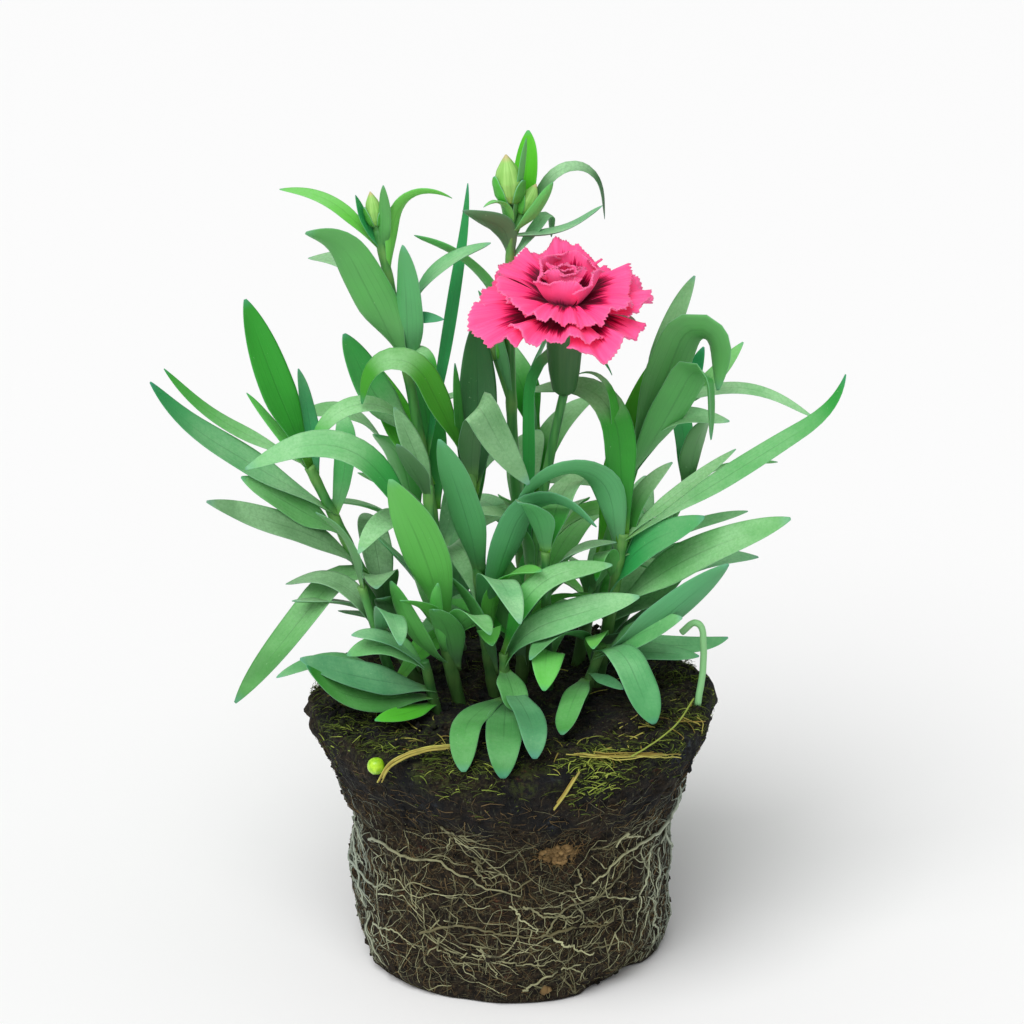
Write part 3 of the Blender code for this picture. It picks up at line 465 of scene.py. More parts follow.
# Leaves that show from the front: seat on the stem, length, width, heading, rise at the root,
# fall at the tip, middle and reach of the bend, sweep, roll, and for broad ones the taper
LEAVES = {
    "front_left": [
        (0.95, 24, 6.5, 115, 55, 50, 0.4, 0.7, 20, 0), (0.95, 23, 5.5, 245, 55, 50, 0.4, 0.7, -10, 10),
        (0.40, 51, 12, 250, 65, 60, 0.4, 0.6, -20, 20), (0.70, 61, 8.5, 190, 60, -25, 0.6, 0.6, -10, -40),
        (0.20, 33, 6, 205, 35, 65, 0.3, 0.6, 20, 30), (0.25, 28, 4, 230, 30, 65, 0.1, 0.5, 60, -20),
    ],
    "middle": [
        (0.55, 50, 9, 255, 65, 60, 0.2, 0.6, -15, 10), (0.95, 49, 9, 265, 70, -40, 0.5, 0.2, 60, 40),
        (1.00, 50, 7.5, 175, 65, -80, 0.7, 0.5, 5, -40), (0.90, 42, 10, 70, 70, 70, 0.5, 0.7, 35, 0),
        (0.40, 52, 9, 320, 70, -40, 0.7, 0.5, 30, -40), (0.80, 39, 3.5, 145, 75, 85, 0.4, 0.7, -20, 0),
        (0.80, 39, 3.5, 60, 60, 60, 0.4, 0.7, 45, -50),
    ],
    "flowering": [
        (0.40, 78, 4, 30, 90, -75, 0.8, 0.5, -25, 30), (0.15, 25, 4, 215, 55, 20, 0.5, 0.8, -10, -50),
        (0.10, 31, 9.5, 215, 50, 65, 0.3, 0.7, 45, 30), (0.20, 24, 5.5, 95, 65, 55, 0.6, 0.7, -45, -20),
        (0.15, 24, 4, 240, 65, 50, 0.9, 0.5, 60, 30),
    ],
    "tall_left": [
        (0.70, 47, 11, 200, 65, 15, 0.8, 0.3, -5, 60), (0.70, 36, 8.5, 275, 75, 75, 0.5, 0.7, -20, -30),
        (0.95, 31, 4, 160, 45, 0, 0.6, 0.8, 5, -30), (0.90, 33, 4, 325, 85, -35, 0.7, 0.8, 35, -40),
        (0.50, 70, 4, 45, 75, 90, 0.9, 0.5, 10, 0), (0.55, 33, 10.5, 165, 35, 60, 0.4, 0.6, -20, -20),
        (0.45, 37, 10, 140, 55, -45, 0.9, 0.2, 5, -10), (0.40, 38, 10, 95, 70, 65, 0.5, 0.7, 25, 20),
        (0.75, 17, 3.5, 305, 75, 0, 0.5, 0.7, 40, 60), (0.70, 14, 3.5, 315, 75, -55, 0.5, 0.7, 15, 40),
        (0.95, 16, 3.5, 180, 60, 75, 0.6, 0.7, 0, -30), (0.95, 19, 4, 280, 75, 75, 0.5, 0.7, -10, -40),
        (0.95, 11, 3.5, 50, 60, 65, 0.5, 0.7, 0, -10), (0.55, 38, 5.5, 205, 50, -70, 0.6, 1.0, 0, -30),
    ],
    "tall_middle": [
        (0.90, 21, 6, 235, 80, 25, 0.4, 0.4, -45, 50), (0.95, 41, 3.5, 15, 55, -85, 0.6, 0.6, 0, 30),
        (0.95, 26, 7, 40, 60, 70, 0.3, 0.6, 55, -10), (0.95, 25, 4.5, 340, 78, 84, 0.5, 0.7, 0, 0),
        (0.95, 24, 5, 5, 0, 35, 0.5, 0.7, 0, 0), (0.95, 15, 3.5, 240, 75, -35, 0.7, 0.7, -35, 10),
        (0.95, 19, 3.5, 335, 45, 60, 0.5, 0.7, -10, -40), (0.60, 32, 4, 215, 70, 55, 0.8, 0.6, -10, 30),
        (0.90, 21, 4, 20, 45, -90, 0.7, 0.2, 30, 10),
    ],
    "back_right": [
        (0.45, 52, 9, 40, 75, 70, 0.4, 0.7, -15, 40), (0.70, 41, 7, 15, 55, 90, 0.6, 0.3, 40, 10),
        (0.80, 59, 11, 335, 70, -90, 0.7, 0.3, 10, -60), (0.95, 38, 7, 70, 60, 50, 0.6, 0.7, -25, 0),
        (0.70, 61, 10, 335, 60, -85, 0.7, 0.2, -35, -40), (0.95, 44, 4, 0, 30, -30, 0.5, 0.8, 0, 30),
        (0.95, 31, 5.5, 20, 20, 45, 0.5, 0.8, 10, 20), (0.90, 27, 6, 10, 30, 70, 0.4, 0.6, 15, 30),
    ],
    "right": [
        (0.95, 59, 8.5, 125, 85, -15, 0.6, 0.5, 60, -20), (0.85, 47, 8, 240, 80, -45, 0.6, 0.7, -60, 50),
        (0.55, 38, 9, 325, 75, 30, 0.4, 0.7, 25, 50), (0.75, 32, 6.5, 40, 75, 40, 0.6, 0.8, -30, 20),
        (0.95, 71, 6, 355, 35, 90, 0.9, 0.4, 0, 40), (0.50, 54, 10.5, 345, 45, 25, 0.4, 0.8, 5, 40),
        (0.95, 36, 4, 15, 50, 35, 0.1, 0.5, 0, 30), (0.85, 34, 4, 10, 25, 10, 0.5, 0.9, 0, 30),
        (0.45, 30, 7, 15, 25, 55, 0.6, 0.8, 5, 20), (1.00, 47, 3.5, 100, 80, -80, 0.9, 0.5, 60, 0),
        (0.70, 20, 5, 245, 70, -70, 0.6, 0.5, -5, 20),
    ],
    "low_right": [
        (0.85, 43, 8.5, 345, 30, 45, 0.3, 0.6, -5, -60), (0.80, 26, 8, 340, 35, 25, 0.7, 0.7, 0, 40),
        (0.95, 33, 6, 15, -5, 30, 0.9, 0.5, 0, 30), (0.85, 25, 5.5, 0, 5, -5, 0.4, 0.7, 0, 30),
        (0.90, 31, 9.5, 300, 25, -45, 0.35, 0.5, 0, 0, 8),
        (0.50, 30, 6.5, 258, 0, -20, 0.5, 0.7, 0, 10, 8), (0.60, 16, 3.5, 300, 5, 5, 0.5, 0.7, 0, 20),
    ],
    "low_front": [
        (1.00, 38, 7, 20, 70, 5, 0.5, 0.7, -15, 30), (0.80, 39, 9.5, 10, 75, 15, 0.2, 0.6, -5, 30),
        (0.35, 45, 9, 269, 6, -60, 0.85, 0.3, 0, 0, 10),
        (0.55, 40, 7.5, 288, 3, -50, 0.85, 0.3, -16, -10, 10),
        (0.35, 42, 7.5, 238, 8, -40, 0.75, 0.4, 36, 0, 10),
        (0.75, 13, 7.5, 285, -15, -45, 0.5, 0.7, 0, -10, 8),
    ],
    "low_left": [
        (0.50, 38, 9, 205, 20, 30, 0.7, 0.6, 0, -40), (0.40, 41, 8, 210, 10, 60, 0.7, 0.9, 5, -40),
        (0.30, 23, 5.5, 235, 5, 10, 0.5, 0.7, -10, -20), (0.80, 23, 7, 165, 50, -20, 0.5, 0.8, 5, -30),
        (0.85, 22, 7, 140, 45, 5, 0.6, 0.8, 15, -10),
    ],
    "left": [
        (0.40, 58, 9, 205, 90, -45, 0.2, 0.5, 5, -20), (1.00, 44, 4, 185, 30, 55, 0.7, 0.7, 0, -40),
        (0.80, 58, 8, 190, 35, 60, 0.8, 0.6, 0, -40), (0.55, 48, 8.5, 205, 45, 25, 0.3, 0.6, -5, -40),
        (0.70, 32, 8.5, 195, 35, 35, 0.5, 0.7, 0, -40), (1.00, 44, 9.5, 155, 65, 70, 0.6, 0.7, -5, -30),
        (0.95, 27, 3.5, 165, 50, 50, 0.4, 0.7, 0, -20), (0.95, 28, 5, 100, 60, 55, 0.5, 0.7, 15, 20),
        (0.80, 27, 7, 55, 55, 20, 0.9, 0.4, 60, -30),
    ],
}
LEAVES = {name: [Leaf(*row) for row in rows] for name, rows in LEAVES.items()}

# Short leaves low on a stem, towards the front: how many, and the first and last heading
LOW_LEAVES = {
    "front_left": (2, 200, 290),
    "middle": (3, 200, 340),
    "left": (3, 150, 270),
    "right": (3, 240, 390),
    "flowering": (2, 240, 330),
    "tall_left": (2, 120, 220),
    "tall_middle": (2, 250, 330),
    "back_right": (2, 300, 400),
}

# Pairs of leaves on the plant's hidden side: first seat, last seat, pairs, length, first heading
HIDDEN_PAIRS = {
    "front_left": (0.3, 0.8, 1, 40, 100),
    "tall_left": (0.3, 0.8, 2, 44, 60),
    "flowering": (0.4, 0.7, 1, 34, 60),
    "tall_middle": (0.35, 0.75, 2, 44, 75),
    "right": (0.3, 0.8, 1, 42, 45),
    "back_right": (0.3, 0.8, 2, 46, 80),
    "middle": (0.4, 0.8, 1, 40, 90),
    "left": (0.4, 0.8, 1, 42, 110),
    "back_left": (0.2, 1.0, 4, 48, 100),
    "back_middle": (0.2, 1.0, 4, 48, 60),
    "back_end": (0.2, 1.0, 4, 46, 20),
    "side_left": (0.25, 1.0, 3, 36, 200),
    "inner_right": (0.3, 1.0, 3, 34, 250),
}

BUDS = {
    "tall_left": [Bud(1.0, 1, 8.5, 2.1, 190, 80)],
    "tall_middle": [
        Bud(1.0, 2, 12, 3.6, 185, 84),
        Bud(0.94, 7, 8, 2.2, 10, 66),
        Bud(0.60, 12, 12.5, 3.2, 172, 72),
    ],
}

RINGS = [
    Ring(7, 21.5, 20, 22, -2, 0.0, 0.05),
    Ring(6, 18, 15, 40, 8, 1.6, 0.1),
    Ring(4, 12.5, 13, 30, 80, 2.6, 0.15),
    Ring(3, 9.5, 9, 60, 100, 3.4, 0.15),
]
print("stems", len(STEMS), "leaves listed", sum(len(leaves) for leaves in LEAVES.values()))

# %% [markdown]
# The sides that the photograph hides are filled by rule: crossed pairs of leaves, as a dianthus
# grows them, and short leaves low in the crown. Leaves make room for each other. Most stand
# where they were drawn, and some turned and lifted, in steps of 6 degrees, until they touched
# neither the ball, the bloom nor another stem. The solids have the same swings.


# %% Leaves placed by rule
# By stem and place in its list: how far a leaf turned and lifted, or None where no room was left
SWINGS = {
    "front_left": {8: (24, 6)},
    "tall_left": {17: (-6, 0)},
    "flowering": {1: (-18, 0), 2: (0, 18), 3: (0, 12), 6: (24, 0), 8: (6, 24)},
    "tall_middle": {7: (0, 6), 9: (-30, 18), 12: None, 13: (18, 0), 14: (0, -24)},
    "right": {0: (-24, 0), 1: (-6, 0), 12: (-12, 6), 14: (-12, 0), 15: (18, -18)},
    "back_right": {11: (-12, 6)},
    "middle": {7: (0, 12), 8: (-12, 0), 9: (-6, 12), 10: (12, 0)},
    "left": {11: (6, 0), 13: (-18, 0)},
    "low_left": {3: (18, 0), 4: (42, 0)},
    "low_right": {5: (0, 6)},
    "back_left": {1: None, 2: (0, 6), 3: (-18, 0), 4: (-24, 0)},
    "back_middle": {1: (-18, -18), 3: (0, -12), 4: (-30, 0), 6: (0, 24)},
    "back_end": {1: (-24, 0), 2: (-36, 0), 3: (24, 0), 4: (6, 0)},
    "side_left": {0: (-6, -6), 1: (24, -12), 3: (36, 6), 4: None, 5: (-12, 0)},
    "inner_right": {0: (30, -18), 1: (-12, -6), 2: (0, 12), 3: None, 4: (-18, 0)},
}


def hidden_leaves():
    """Crossed pairs of leaves for the sides that the front hides."""
    chance = np.random.default_rng(SEED)
    made = {}
    for name, (first, last, pairs, length, heading) in HIDDEN_PAIRS.items():
        made[name] = []
        for index in range(pairs):
            at = first + (last - first) * (index / max(pairs - 1, 1))
            size = length * (1 - 0.3 * at) * chance.uniform(0.85, 1.15)
            for partner in (0, 180):
                turn = heading + 90 * index + partner + chance.uniform(-18, 18)
                rise = 40 + 30 * at + chance.uniform(-8, 8)
                fall = rise - chance.uniform(45, 100) * (1.1 - 0.5 * at)
                width, bend, sweep, roll = chance.uniform([6.5, 0.45, -15, -25], [9.5, 0.65, 15, 25])
                made[name].append(Leaf(at, size, width, turn, rise, fall, bend, 0.8, sweep, roll))
    return made


def low_leaves():
    """Short leaves that fill the crown just above the soil."""
    chance = np.random.default_rng(SEED + 3)
    made = {}
    for name, (count, first, last) in LOW_LEAVES.items():
        made[name] = []
        for heading in first + (last - first) * (np.arange(count) + 0.5) / count:
            at, length, width = chance.uniform([0.08, 26, 6], [0.3, 36, 8.5])
            turn, rise, fall, sweep, roll = chance.uniform([-12, 50, -5, -10, -20], [12, 75, 50, 10, 20])
            made[name].append(Leaf(at, length, width, heading + turn, rise, fall, 0.5, 0.8, sweep, roll))
    return made


def placed_leaves():
    """The leaves of every stem, swung aside, without those that found no room."""
    placed = {name: [] for name in STEMS}
    sources = LEAVES, low_leaves(), hidden_leaves()
    for name in STEMS:
        listed = [leaf for source in sources for leaf in source.get(name, [])]
        for number, leaf in enumerate(listed):
            swing = SWINGS.get(name, {}).get(number, (0, 0))
            if swing:
                turn, lift = swing
                placed[name].append(leaf._replace(heading=leaf.heading + turn, rise=leaf.rise + lift,
                                                  fall=leaf.fall + lift))
    return placed


plant_leaves = placed_leaves()
print("leaves placed", sum(len(leaves) for leaves in plant_leaves.values()))

# %% [markdown]
# A leaf's centre line starts on its stem, rises at one angle and ends at another, with a soft
# bend between. The ball is a profile carried round its axis, with slow swells on its side and a
# soil that is a little uneven and hollow.

# %% Centre lines, the ball's shape and the bloom's frame
STEM_FOOT = 57.0
SEATS_FROM = 62.0
BALL_PROFILE = [
    (37, 0), (38.2, 3), (38.7, 10), (39.2, 25), (39.6, 39),
    (43, 47.5), (47, 55), (49.3, 61), (48.8, 65.5), (43, 67.3),
]
SWELL_DEPTH = 0.4
SOIL_HEIGHT = 67.0
SOIL_RADIUS = 43
SOIL_HOLLOW = 1.5
BLOOM_LEAN = 14
CALYX_LENGTH = 22


def smooth(value):
    """A soft step from 0 to 1."""
    value = np.clip(value, 0, 1)
    return value * value * (3 - 2 * value)


def stem_line(stem, along, foot):
    """Points at fractions of a stem's way from a height in the ball to its tip."""
    along = np.asarray(along)[..., None]
    base = np.array([*stem.base, foot], float)
    bow = np.array([stem.bow, 0, 0]) * 4 * along * (1 - along)
    return base + (np.array(stem.tip, float) - base) * along + bow


def blade_rows(root, leaf, steps):
    """Centre points, side and upward directions along a blade that bends in elevation."""
    s = np.linspace(0, 1, steps + 1)
    middle = (s[1:] + s[:-1]) / 2
    bent = smooth((middle - leaf.bend) / leaf.reach + 0.5)
    lift = np.radians(leaf.rise + (leaf.fall - leaf.rise) * bent)
    ahead = toward(np.radians(leaf.heading + leaf.sweep * middle), lift)
    centre = root + np.vstack([np.zeros(3), np.cumsum(ahead * leaf.length / steps, 0)])
    turn = np.radians(leaf.heading + leaf.sweep * s)
    side = np.stack([-np.sin(turn), np.cos(turn), np.zeros_like(s)], 1)
    forward = unit(np.gradient(centre, axis=0))
    up = unit(np.cross(forward, side))
    side = np.cross(up, forward)
    roll = np.radians(leaf.roll * smooth(s / 0.4))[:, None]
    return s, centre, side * np.cos(roll) + up * np.sin(roll), up * np.cos(roll) - side * np.sin(roll)


def wall_swells(turn, height):
    """How far the ball's side swells: three sines of turn and height that fade out at the base."""
    waves = np.sin(5 * turn + height * 0.21) + np.sin(7 * turn - height * 0.13 + 1.0)
    return SWELL_DEPTH * (waves + np.sin(height * 0.33 + 2 * turn)) * smooth(height / 4)


def soil_height(x, y):
    """Height of the uneven soil inside the rim."""
    waves = np.sin(0.16 * x + 0.4) * np.cos(0.19 * y) + 0.6 * np.sin(0.31 * x - 0.27 * y)
    inside = np.clip(1 - (x * x + y * y) / SOIL_RADIUS ** 2, 0, 1)
    return SOIL_HEIGHT - SOIL_HOLLOW * inside + waves * smooth(inside * 4)


calyx_foot = np.array(STEMS["flowering"].tip, float)
bloom_turn = np.array(Matrix.Rotation(math.radians(BLOOM_LEAN), 3, "X"))
bloom_heart = calyx_foot + bloom_turn[:, 2] * CALYX_LENGTH
print("the petals start at", np.round(bloom_heart), "mm")

# %% [markdown]
# Dianthus leaves are thick, waxy and blue-green. The wax is a grey film. Its pale colour is
# painted most where a leaf faces up, as a painted highlight of light from above. Young leaves
# and leaf bases are yellow-green, tips turn bluish, the edge is a thin pale line, and fine veins
# run straight from base to tip. Painted shade darkens leaves low in the crown, leaf bases, faces
# that look down and the crease over the midrib. Stems and buds are smoother and yellower.


# %% Materials of the shoots
# Dark green for painted shade, and also the colour of the veins
LEAF_SHADE_AND_VEINS = tone(12, 46, 26)
LEAF_DARK = tone(36, 86, 48)
LEAF_MID = tone(50, 156, 50)
LEAF_TEAL = tone(36, 148, 92)
# Pale wax colour: a painted highlight on faces that look up, and real wax on undersides and flecks
LEAF_WAX_AND_HIGHLIGHT = tone(176, 228, 172)
LEAF_YOUNG = tone(92, 208, 26)
LEAF_BASE = tone(128, 186, 50)
LEAF_TIP = tone(92, 160, 164)
LEAF_EDGE = tone(168, 214, 200)
LEAF_GLOW = (0.002, 0.004, 0.001)


def leaf_paint():
    """Traits: draw picks the green, youth the lime share, shade how far it faces up for painted light."""
    mill = Mill("waxy_leaf")
    across, along, uv = mill.across_and_along()
    draw, youth, under, shade = mill.traits()
    place = mill.place()
    cloud = mill.noise(place, 70.0)
    veins = mill.noise(mill.stretched(uv, (40.0, 1.2, 1.0)), 1.0, 2.0, 0.6)
    fleck = mill.noise(place, 1300.0, 2.0, 0.7)
    # Painted shade: leaves go darker towards the soil, deep in the crown
    out_of_crown_shade = mill.numbers(place)[2].rise(0.062, 0.104)
    green = mill.mix(LEAF_DARK, LEAF_MID, draw.rise(0.08, 0.34))
    green = mill.mix(green, LEAF_TEAL, draw.rise(0.5, 0.8))
    green = mill.mix(green, LEAF_YOUNG, (youth * 0.9).clamp())
    # Painted shade: faces that look down, low leaves and leaf bases go dark; the cloud adds real tone
    light_and_tone = cloud.rise(0.3, 0.65) * 0.2 + shade * 0.25 + out_of_crown_shade * 0.45 + along.rise(0.05, 0.5) * 0.35
    green = mill.mix(LEAF_SHADE_AND_VEINS, green, (light_and_tone + youth * 0.4).clamp())
    # Painted highlight: the wax colour is laid on faces that look up, high and out in the open
    wax_highlight = shade.rise(0.4, 0.82) * (0.6 + 0.4 * cloud.rise(0.35, 0.6)) * (1 - youth * 0.6)
    wax_highlight = (wax_highlight * (0.2 + 0.8 * out_of_crown_shade)).clamp() * (0.8 + 0.2 * fleck.rise(0.35, 0.6))
    green = mill.mix(green, LEAF_WAX_AND_HIGHLIGHT, wax_highlight * 0.85)
    green = mill.mix(green, LEAF_BASE, (1 - along.rise(0.0, 0.14)) * 0.45)
    green = mill.mix(green, LEAF_TIP, along.rise(0.92, 1.0) * 0.35)
    green = mill.mix(green, LEAF_WAX_AND_HIGHLIGHT, under * 0.2)
    from_middle = (across - 0.5).size() * 2
    # Painted shade in the crease over the midrib
    crease = (1 - from_middle.rise(0.0, 0.07)) * (1 - along.rise(0.55, 0.9))
    green = mill.mix(green, LEAF_SHADE_AND_VEINS, crease * 0.2)
    green = mill.mix(green, LEAF_EDGE, from_middle.rise(0.95, 0.99) * 0.35)
    green = mill.mix(green, LEAF_SHADE_AND_VEINS, (veins.rise(0.5, 0.8) * 0.2).clamp())
    green = mill.mix(green, LEAF_WAX_AND_HIGHLIGHT, fleck.rise(0.7, 0.78) * 0.4)
    normal = mill.bump(veins * 0.6 - crease * 0.7, 0.3, 0.0004)
    return mill.finish(green, 0.44 + 0.14 * cloud + 0.1 * wax_highlight, normal,
                       Subsurface_Weight=0.06, Subsurface_Radius=LEAF_GLOW, Specular_IOR_Level=0.32)


def stem_paint():
    """Smooth green stems, yellow-green low down, paler at each joint, with painted shade at the soil."""
    mill = Mill("waxy_stem")
    along = mill.across_and_along()[1]
    joint = mill.traits()[3]
    place = mill.place()
    streaks = mill.noise(mill.stretched(place, (600.0, 600.0, 30.0)), 1.0, 2.0)
    green = mill.mix(tone(52, 124, 62), tone(92, 166, 84), streaks.rise(0.3, 0.75))
    green = mill.mix(green, tone(136, 184, 74), (1 - along.rise(0.0, 0.3)) * 0.6)
    green = mill.mix(green, tone(150, 192, 100), joint * 0.35)
    # Painted shade: stems go dark near the soil, deep in the crown
    green = mill.mix(tone(34, 62, 24), green, 0.15 + 0.85 * mill.numbers(place)[2].rise(0.060, 0.098))
    return mill.finish(green, 0.45 + 0.15 * streaks, mill.bump(streaks, 0.1, 0.0003),
                       Subsurface_Weight=0.05, Subsurface_Radius=LEAF_GLOW, Specular_IOR_Level=0.35)


def bud_paint():
    """A closed bud is a pale green calyx with faint ribs, pinkish where the petals push out."""
    mill = Mill("bud_skin")
    _, along, uv = mill.across_and_along()
    _, youth, _, shade = mill.traits()
    ribs = mill.noise(mill.stretched(uv, (14.0, 0.8, 1.0)), 1.0, 1.0)
    pale = (ribs.rise(0.35, 0.65) * 0.5 + along * 0.5).clamp()
    green = mill.mix(tone(120, 184, 78), tone(172, 224, 124), pale)
    # Painted shade: the calyx under the bloom and the large low bud are turned dark green
    green = mill.mix(green, tone(30, 82, 46), shade)
    green = mill.mix(green, tone(216, 178, 140), along.rise(0.84, 0.98) * youth * 0.7)
    return mill.finish(green, 0.5, mill.bump(ribs, 0.15, 0.0004), Specular_IOR_Level=0.35)


shoot_finishes = [leaf_paint(), stem_paint(), bud_paint()]
print("finishes for the shoots:", [paint.name for paint in shoot_finishes])

# %% [markdown]
# A finished blade is a closed skin. Its section is a thin lens folded into a shallow channel,
# with a groove over the midrib, and its edges wave a little. Its rows crowd towards the tip,
# which is blunt on leaves that grow at the soil and sharp on all others.


# %% Leaf blades
BLADE_ROWS = 26
BLADE_COLUMNS = 16
BLADE_HALF_THICKNESS = 0.34
SHEATH_WIDTH = 0.38
BLUNT_TIP = 0.55
SHARP_TIP = 0.9
BLUNT_BELOW = 0.1
TIP_CROWDING = 1.5
LEAST_HALF_WIDTH = 0.04


def fine_blade(root, leaf, chance, youth):
    """Section: side = half width * cos, up = fold * cos^1.7 + thickness * sin - midrib groove."""
    last = 3 * BLADE_ROWS - 1
    rows = np.round((1 - np.linspace(1, 0, BLADE_ROWS) ** TIP_CROWDING) * last).astype(int)
    s, centre, side, up = (part[rows] for part in blade_rows(root, leaf, last + 1))
    swell = SHEATH_WIDTH + (1 - SHEATH_WIDTH) * smooth(s / 0.45)
    tip = (1 - s ** leaf.taper) ** (BLUNT_TIP if leaf.at < BLUNT_BELOW else SHARP_TIP)
    half = np.maximum(leaf.width / 2 * swell * tip, LEAST_HALF_WIDTH)[:, None]
    angle = (np.arange(BLADE_COLUMNS) + 0.5) * 2 * np.pi / BLADE_COLUMNS
    across, face = np.cos(angle)[None], np.sin(angle)[None]
    phase, pace = chance.uniform(0, 6.28, 2), chance.uniform(0.8, 2.0, 2)
    grown = s[:, None]
    right, left = (np.sin(pace[edge] * 2 * np.pi * grown + phase[edge]) for edge in (0, 1))
    wave = np.where(across > 0, right, left) * across ** 2 * leaf.width * 0.035
    wave = wave * smooth(grown * 3) * (1 - grown ** 6)
    thin = BLADE_HALF_THICKNESS * np.minimum(1, half / 1.2) * (1 - 0.35 * across ** 2)
    groove = 0.16 * np.exp(-(across / 0.16) ** 2) * np.minimum(1, half / 3)
    fold = chance.uniform(0.16, 0.26)
    level = fold * half * np.abs(across) ** 1.7 + thin * face - groove + wave
    grid = centre[:, None] + side[:, None] * (half * across)[..., None] + up[:, None] * level[..., None]
    traits = (chance.uniform(0, 1), youth, face < 0, np.clip(up[:, 2:] * np.sign(face), 0, 1))
    return closed_patch(grid, 0.5 + 0.5 * across, grown, traits)


# %% [markdown]
# A stem swells a little at each joint, where a pair of leaves clasps it. A bud is a swollen egg
# that narrows to a point, held by pointed scales that lie on its surface. The calyx under the
# open bloom is a ribbed tube with scales at its foot.


# %% Stems, buds and the calyx
STEM_ROWS = 90
STEM_COLUMNS = 14
STEM_TAPER = 0.7
JOINT_LENGTH = 2.2
BUD_ROWS = 30
BUD_COLUMNS = 30
BUD_STATIONS = [0, 0.05, 0.2, 0.45, 0.7, 0.88, 1.0]
BUD_GIRTH = [0.35, 0.72, 0.95, 1.0, 0.74, 0.36, 0.06]
SCALE_ROWS = 14
SCALE_COLUMNS = 9
SCALES = ((0.5, 0.62), (2.6, 0.5), (4.7, 0.56))
CALYX_ROWS = 34
CALYX_COLUMNS = 40
CALYX_STATIONS = [0, 0.06, 0.3, 0.6, 1.0]
CALYX_GIRTH = [1.7, 2.9, 3.7, 4.2, 4.3]
CALYX_SCALES = (20, 110, 200, 290)
STALK_RADIUS = 0.95


def round_patch(path, radius, columns, ribs, rib_depth, traits, finish):
    """A tube whose radius is also a function of the angle: radius * (1 + depth cos(ribs * angle))."""
    side, up = side_and_up(path, (0.0, -1.0, 0.05))
    angle = np.arange(columns) * 2 * np.pi / columns
    reach = radius[:, None] * (1 + rib_depth * np.cos(ribs * angle))
    grid = path[:, None] + side[:, None] * (reach * np.cos(angle))[..., None]
    grid = grid + up[:, None] * (reach * np.sin(angle))[..., None]
    along = np.linspace(0, 1, len(path))[:, None]
    return closed_patch(grid, np.abs(angle / np.pi - 1), along, traits, finish)


def stem_patch(name, leaves):
    """The stem from its hole to its tip, with a bump of the radius at each leaf's seat."""
    stem = STEMS[name]
    t = np.linspace(0, 1, STEM_ROWS)
    path = stem_line(stem, t, STEM_FOOT)
    height = np.linalg.norm(path[-1] - path[0])
    joints = np.zeros(STEM_ROWS)
    for leaf in leaves:
        joints = np.maximum(joints, np.exp(-((t - (0.04 + 0.96 * leaf.at)) * height / JOINT_LENGTH) ** 2))
    radius = stem.radius * (1 + (STEM_TAPER - 1) * t) * 0.94 * (1 + 0.14 * joints)
    return round_patch(path, radius, STEM_COLUMNS, 4, 0.03, (0.5, 0, 0, joints[:, None]), 1)


def bud_scale(start, ahead, bud, turn, reach, chance):
    """A pointed scale on the bud: a strip of its surface that narrows as the root of a cosine."""
    t = np.linspace(0.0, reach, SCALE_ROWS)
    share = t / reach
    x = np.linspace(-1, 1, SCALE_COLUMNS)
    angle = turn + (0.85 * np.sqrt(np.cos(share * np.pi / 2) + 0.001))[:, None] * x
    side = unit(np.cross(ahead, (0.0, 1.0, 0.2)))
    up = np.cross(ahead, side)
    out = (np.interp(t, BUD_STATIONS, BUD_GIRTH) * bud.radius + 0.18 + 0.35 * share ** 3)[:, None]
    grid = (start + t[:, None] * bud.length * ahead)[:, None]
    grid = grid + side * (out * np.cos(angle))[..., None] + up * (out * np.sin(angle))[..., None]
    return sheet_patch(grid, 0.3, 0.5 + 0.5 * x, share[:, None], (chance.uniform(0, 0.5), 0.45, 0, 0.5))


def fine_bud(stem, bud, chance):
    """The stalk, the smooth egg of a closed bud and the scales that hold it."""
    foot = stem_line(stem, bud.at, SEATS_FROM)
    ahead = toward(math.radians(bud.heading), math.radians(bud.lift))
    start = foot + ahead * bud.stalk
    stalk_line = foot + np.linspace(-0.5, bud.stalk + 1, 8)[:, None] * ahead
    stalk = round_patch(stalk_line, np.full(8, STALK_RADIUS), 10, 1, 0.0, (0.5, 0, 0, 0.3), 1)
    t = np.linspace(0, 1, BUD_ROWS)
    girth = np.interp(t, BUD_STATIONS, BUD_GIRTH) * bud.radius * 0.98
    # Painted shade for the large bud on a long stalk
    dark = 0.5 if bud.radius > 3 and bud.stalk > 10 else 0.0
    egg = round_patch(start + t[:, None] * bud.length * ahead, girth, BUD_COLUMNS, 5, 0.018,
                      (chance.uniform(0.5, 1), 1.0, 0, dark), 2)
    return [stalk, egg, *(bud_scale(start, ahead, bud, angle, reach, chance) for angle, reach in SCALES)]


def fine_calyx(chance):
    """A ribbed tube from the stem's tip to the petals, with scales at its foot."""
    t = np.linspace(0, 1, CALYX_ROWS)
    path = calyx_foot + (t * CALYX_LENGTH * 0.97)[:, None] * bloom_turn[:, 2]
    girth = np.interp(t, CALYX_STATIONS, CALYX_GIRTH)
    # The calyx carries 0.9 in the shade trait: painted shade that makes it dark green
    made = [round_patch(path, girth, CALYX_COLUMNS, 15, 0.02, (0.35, 0, 0, 0.9), 2)]
    for heading in CALYX_SCALES:
        scale = Leaf(0, 11, 5.5, heading, 84, 80, reach=0.8, taper=2.2)
        made.append(fine_blade(calyx_foot + (0, 0, 1.0), scale, chance, 0.1))
    return made


# %% [markdown]
# Every shoot is one piece: the stem, the leaves that found room on it, and its buds. About one
# leaf in five is young and lime green, and more of them grow low in the crown. The broad leaves
# that lie on the soil are old.

# %% Grow the shoots
YOUNG_SHARE = 0.22
OLD_SHOOTS = ("low_front", "low_right")


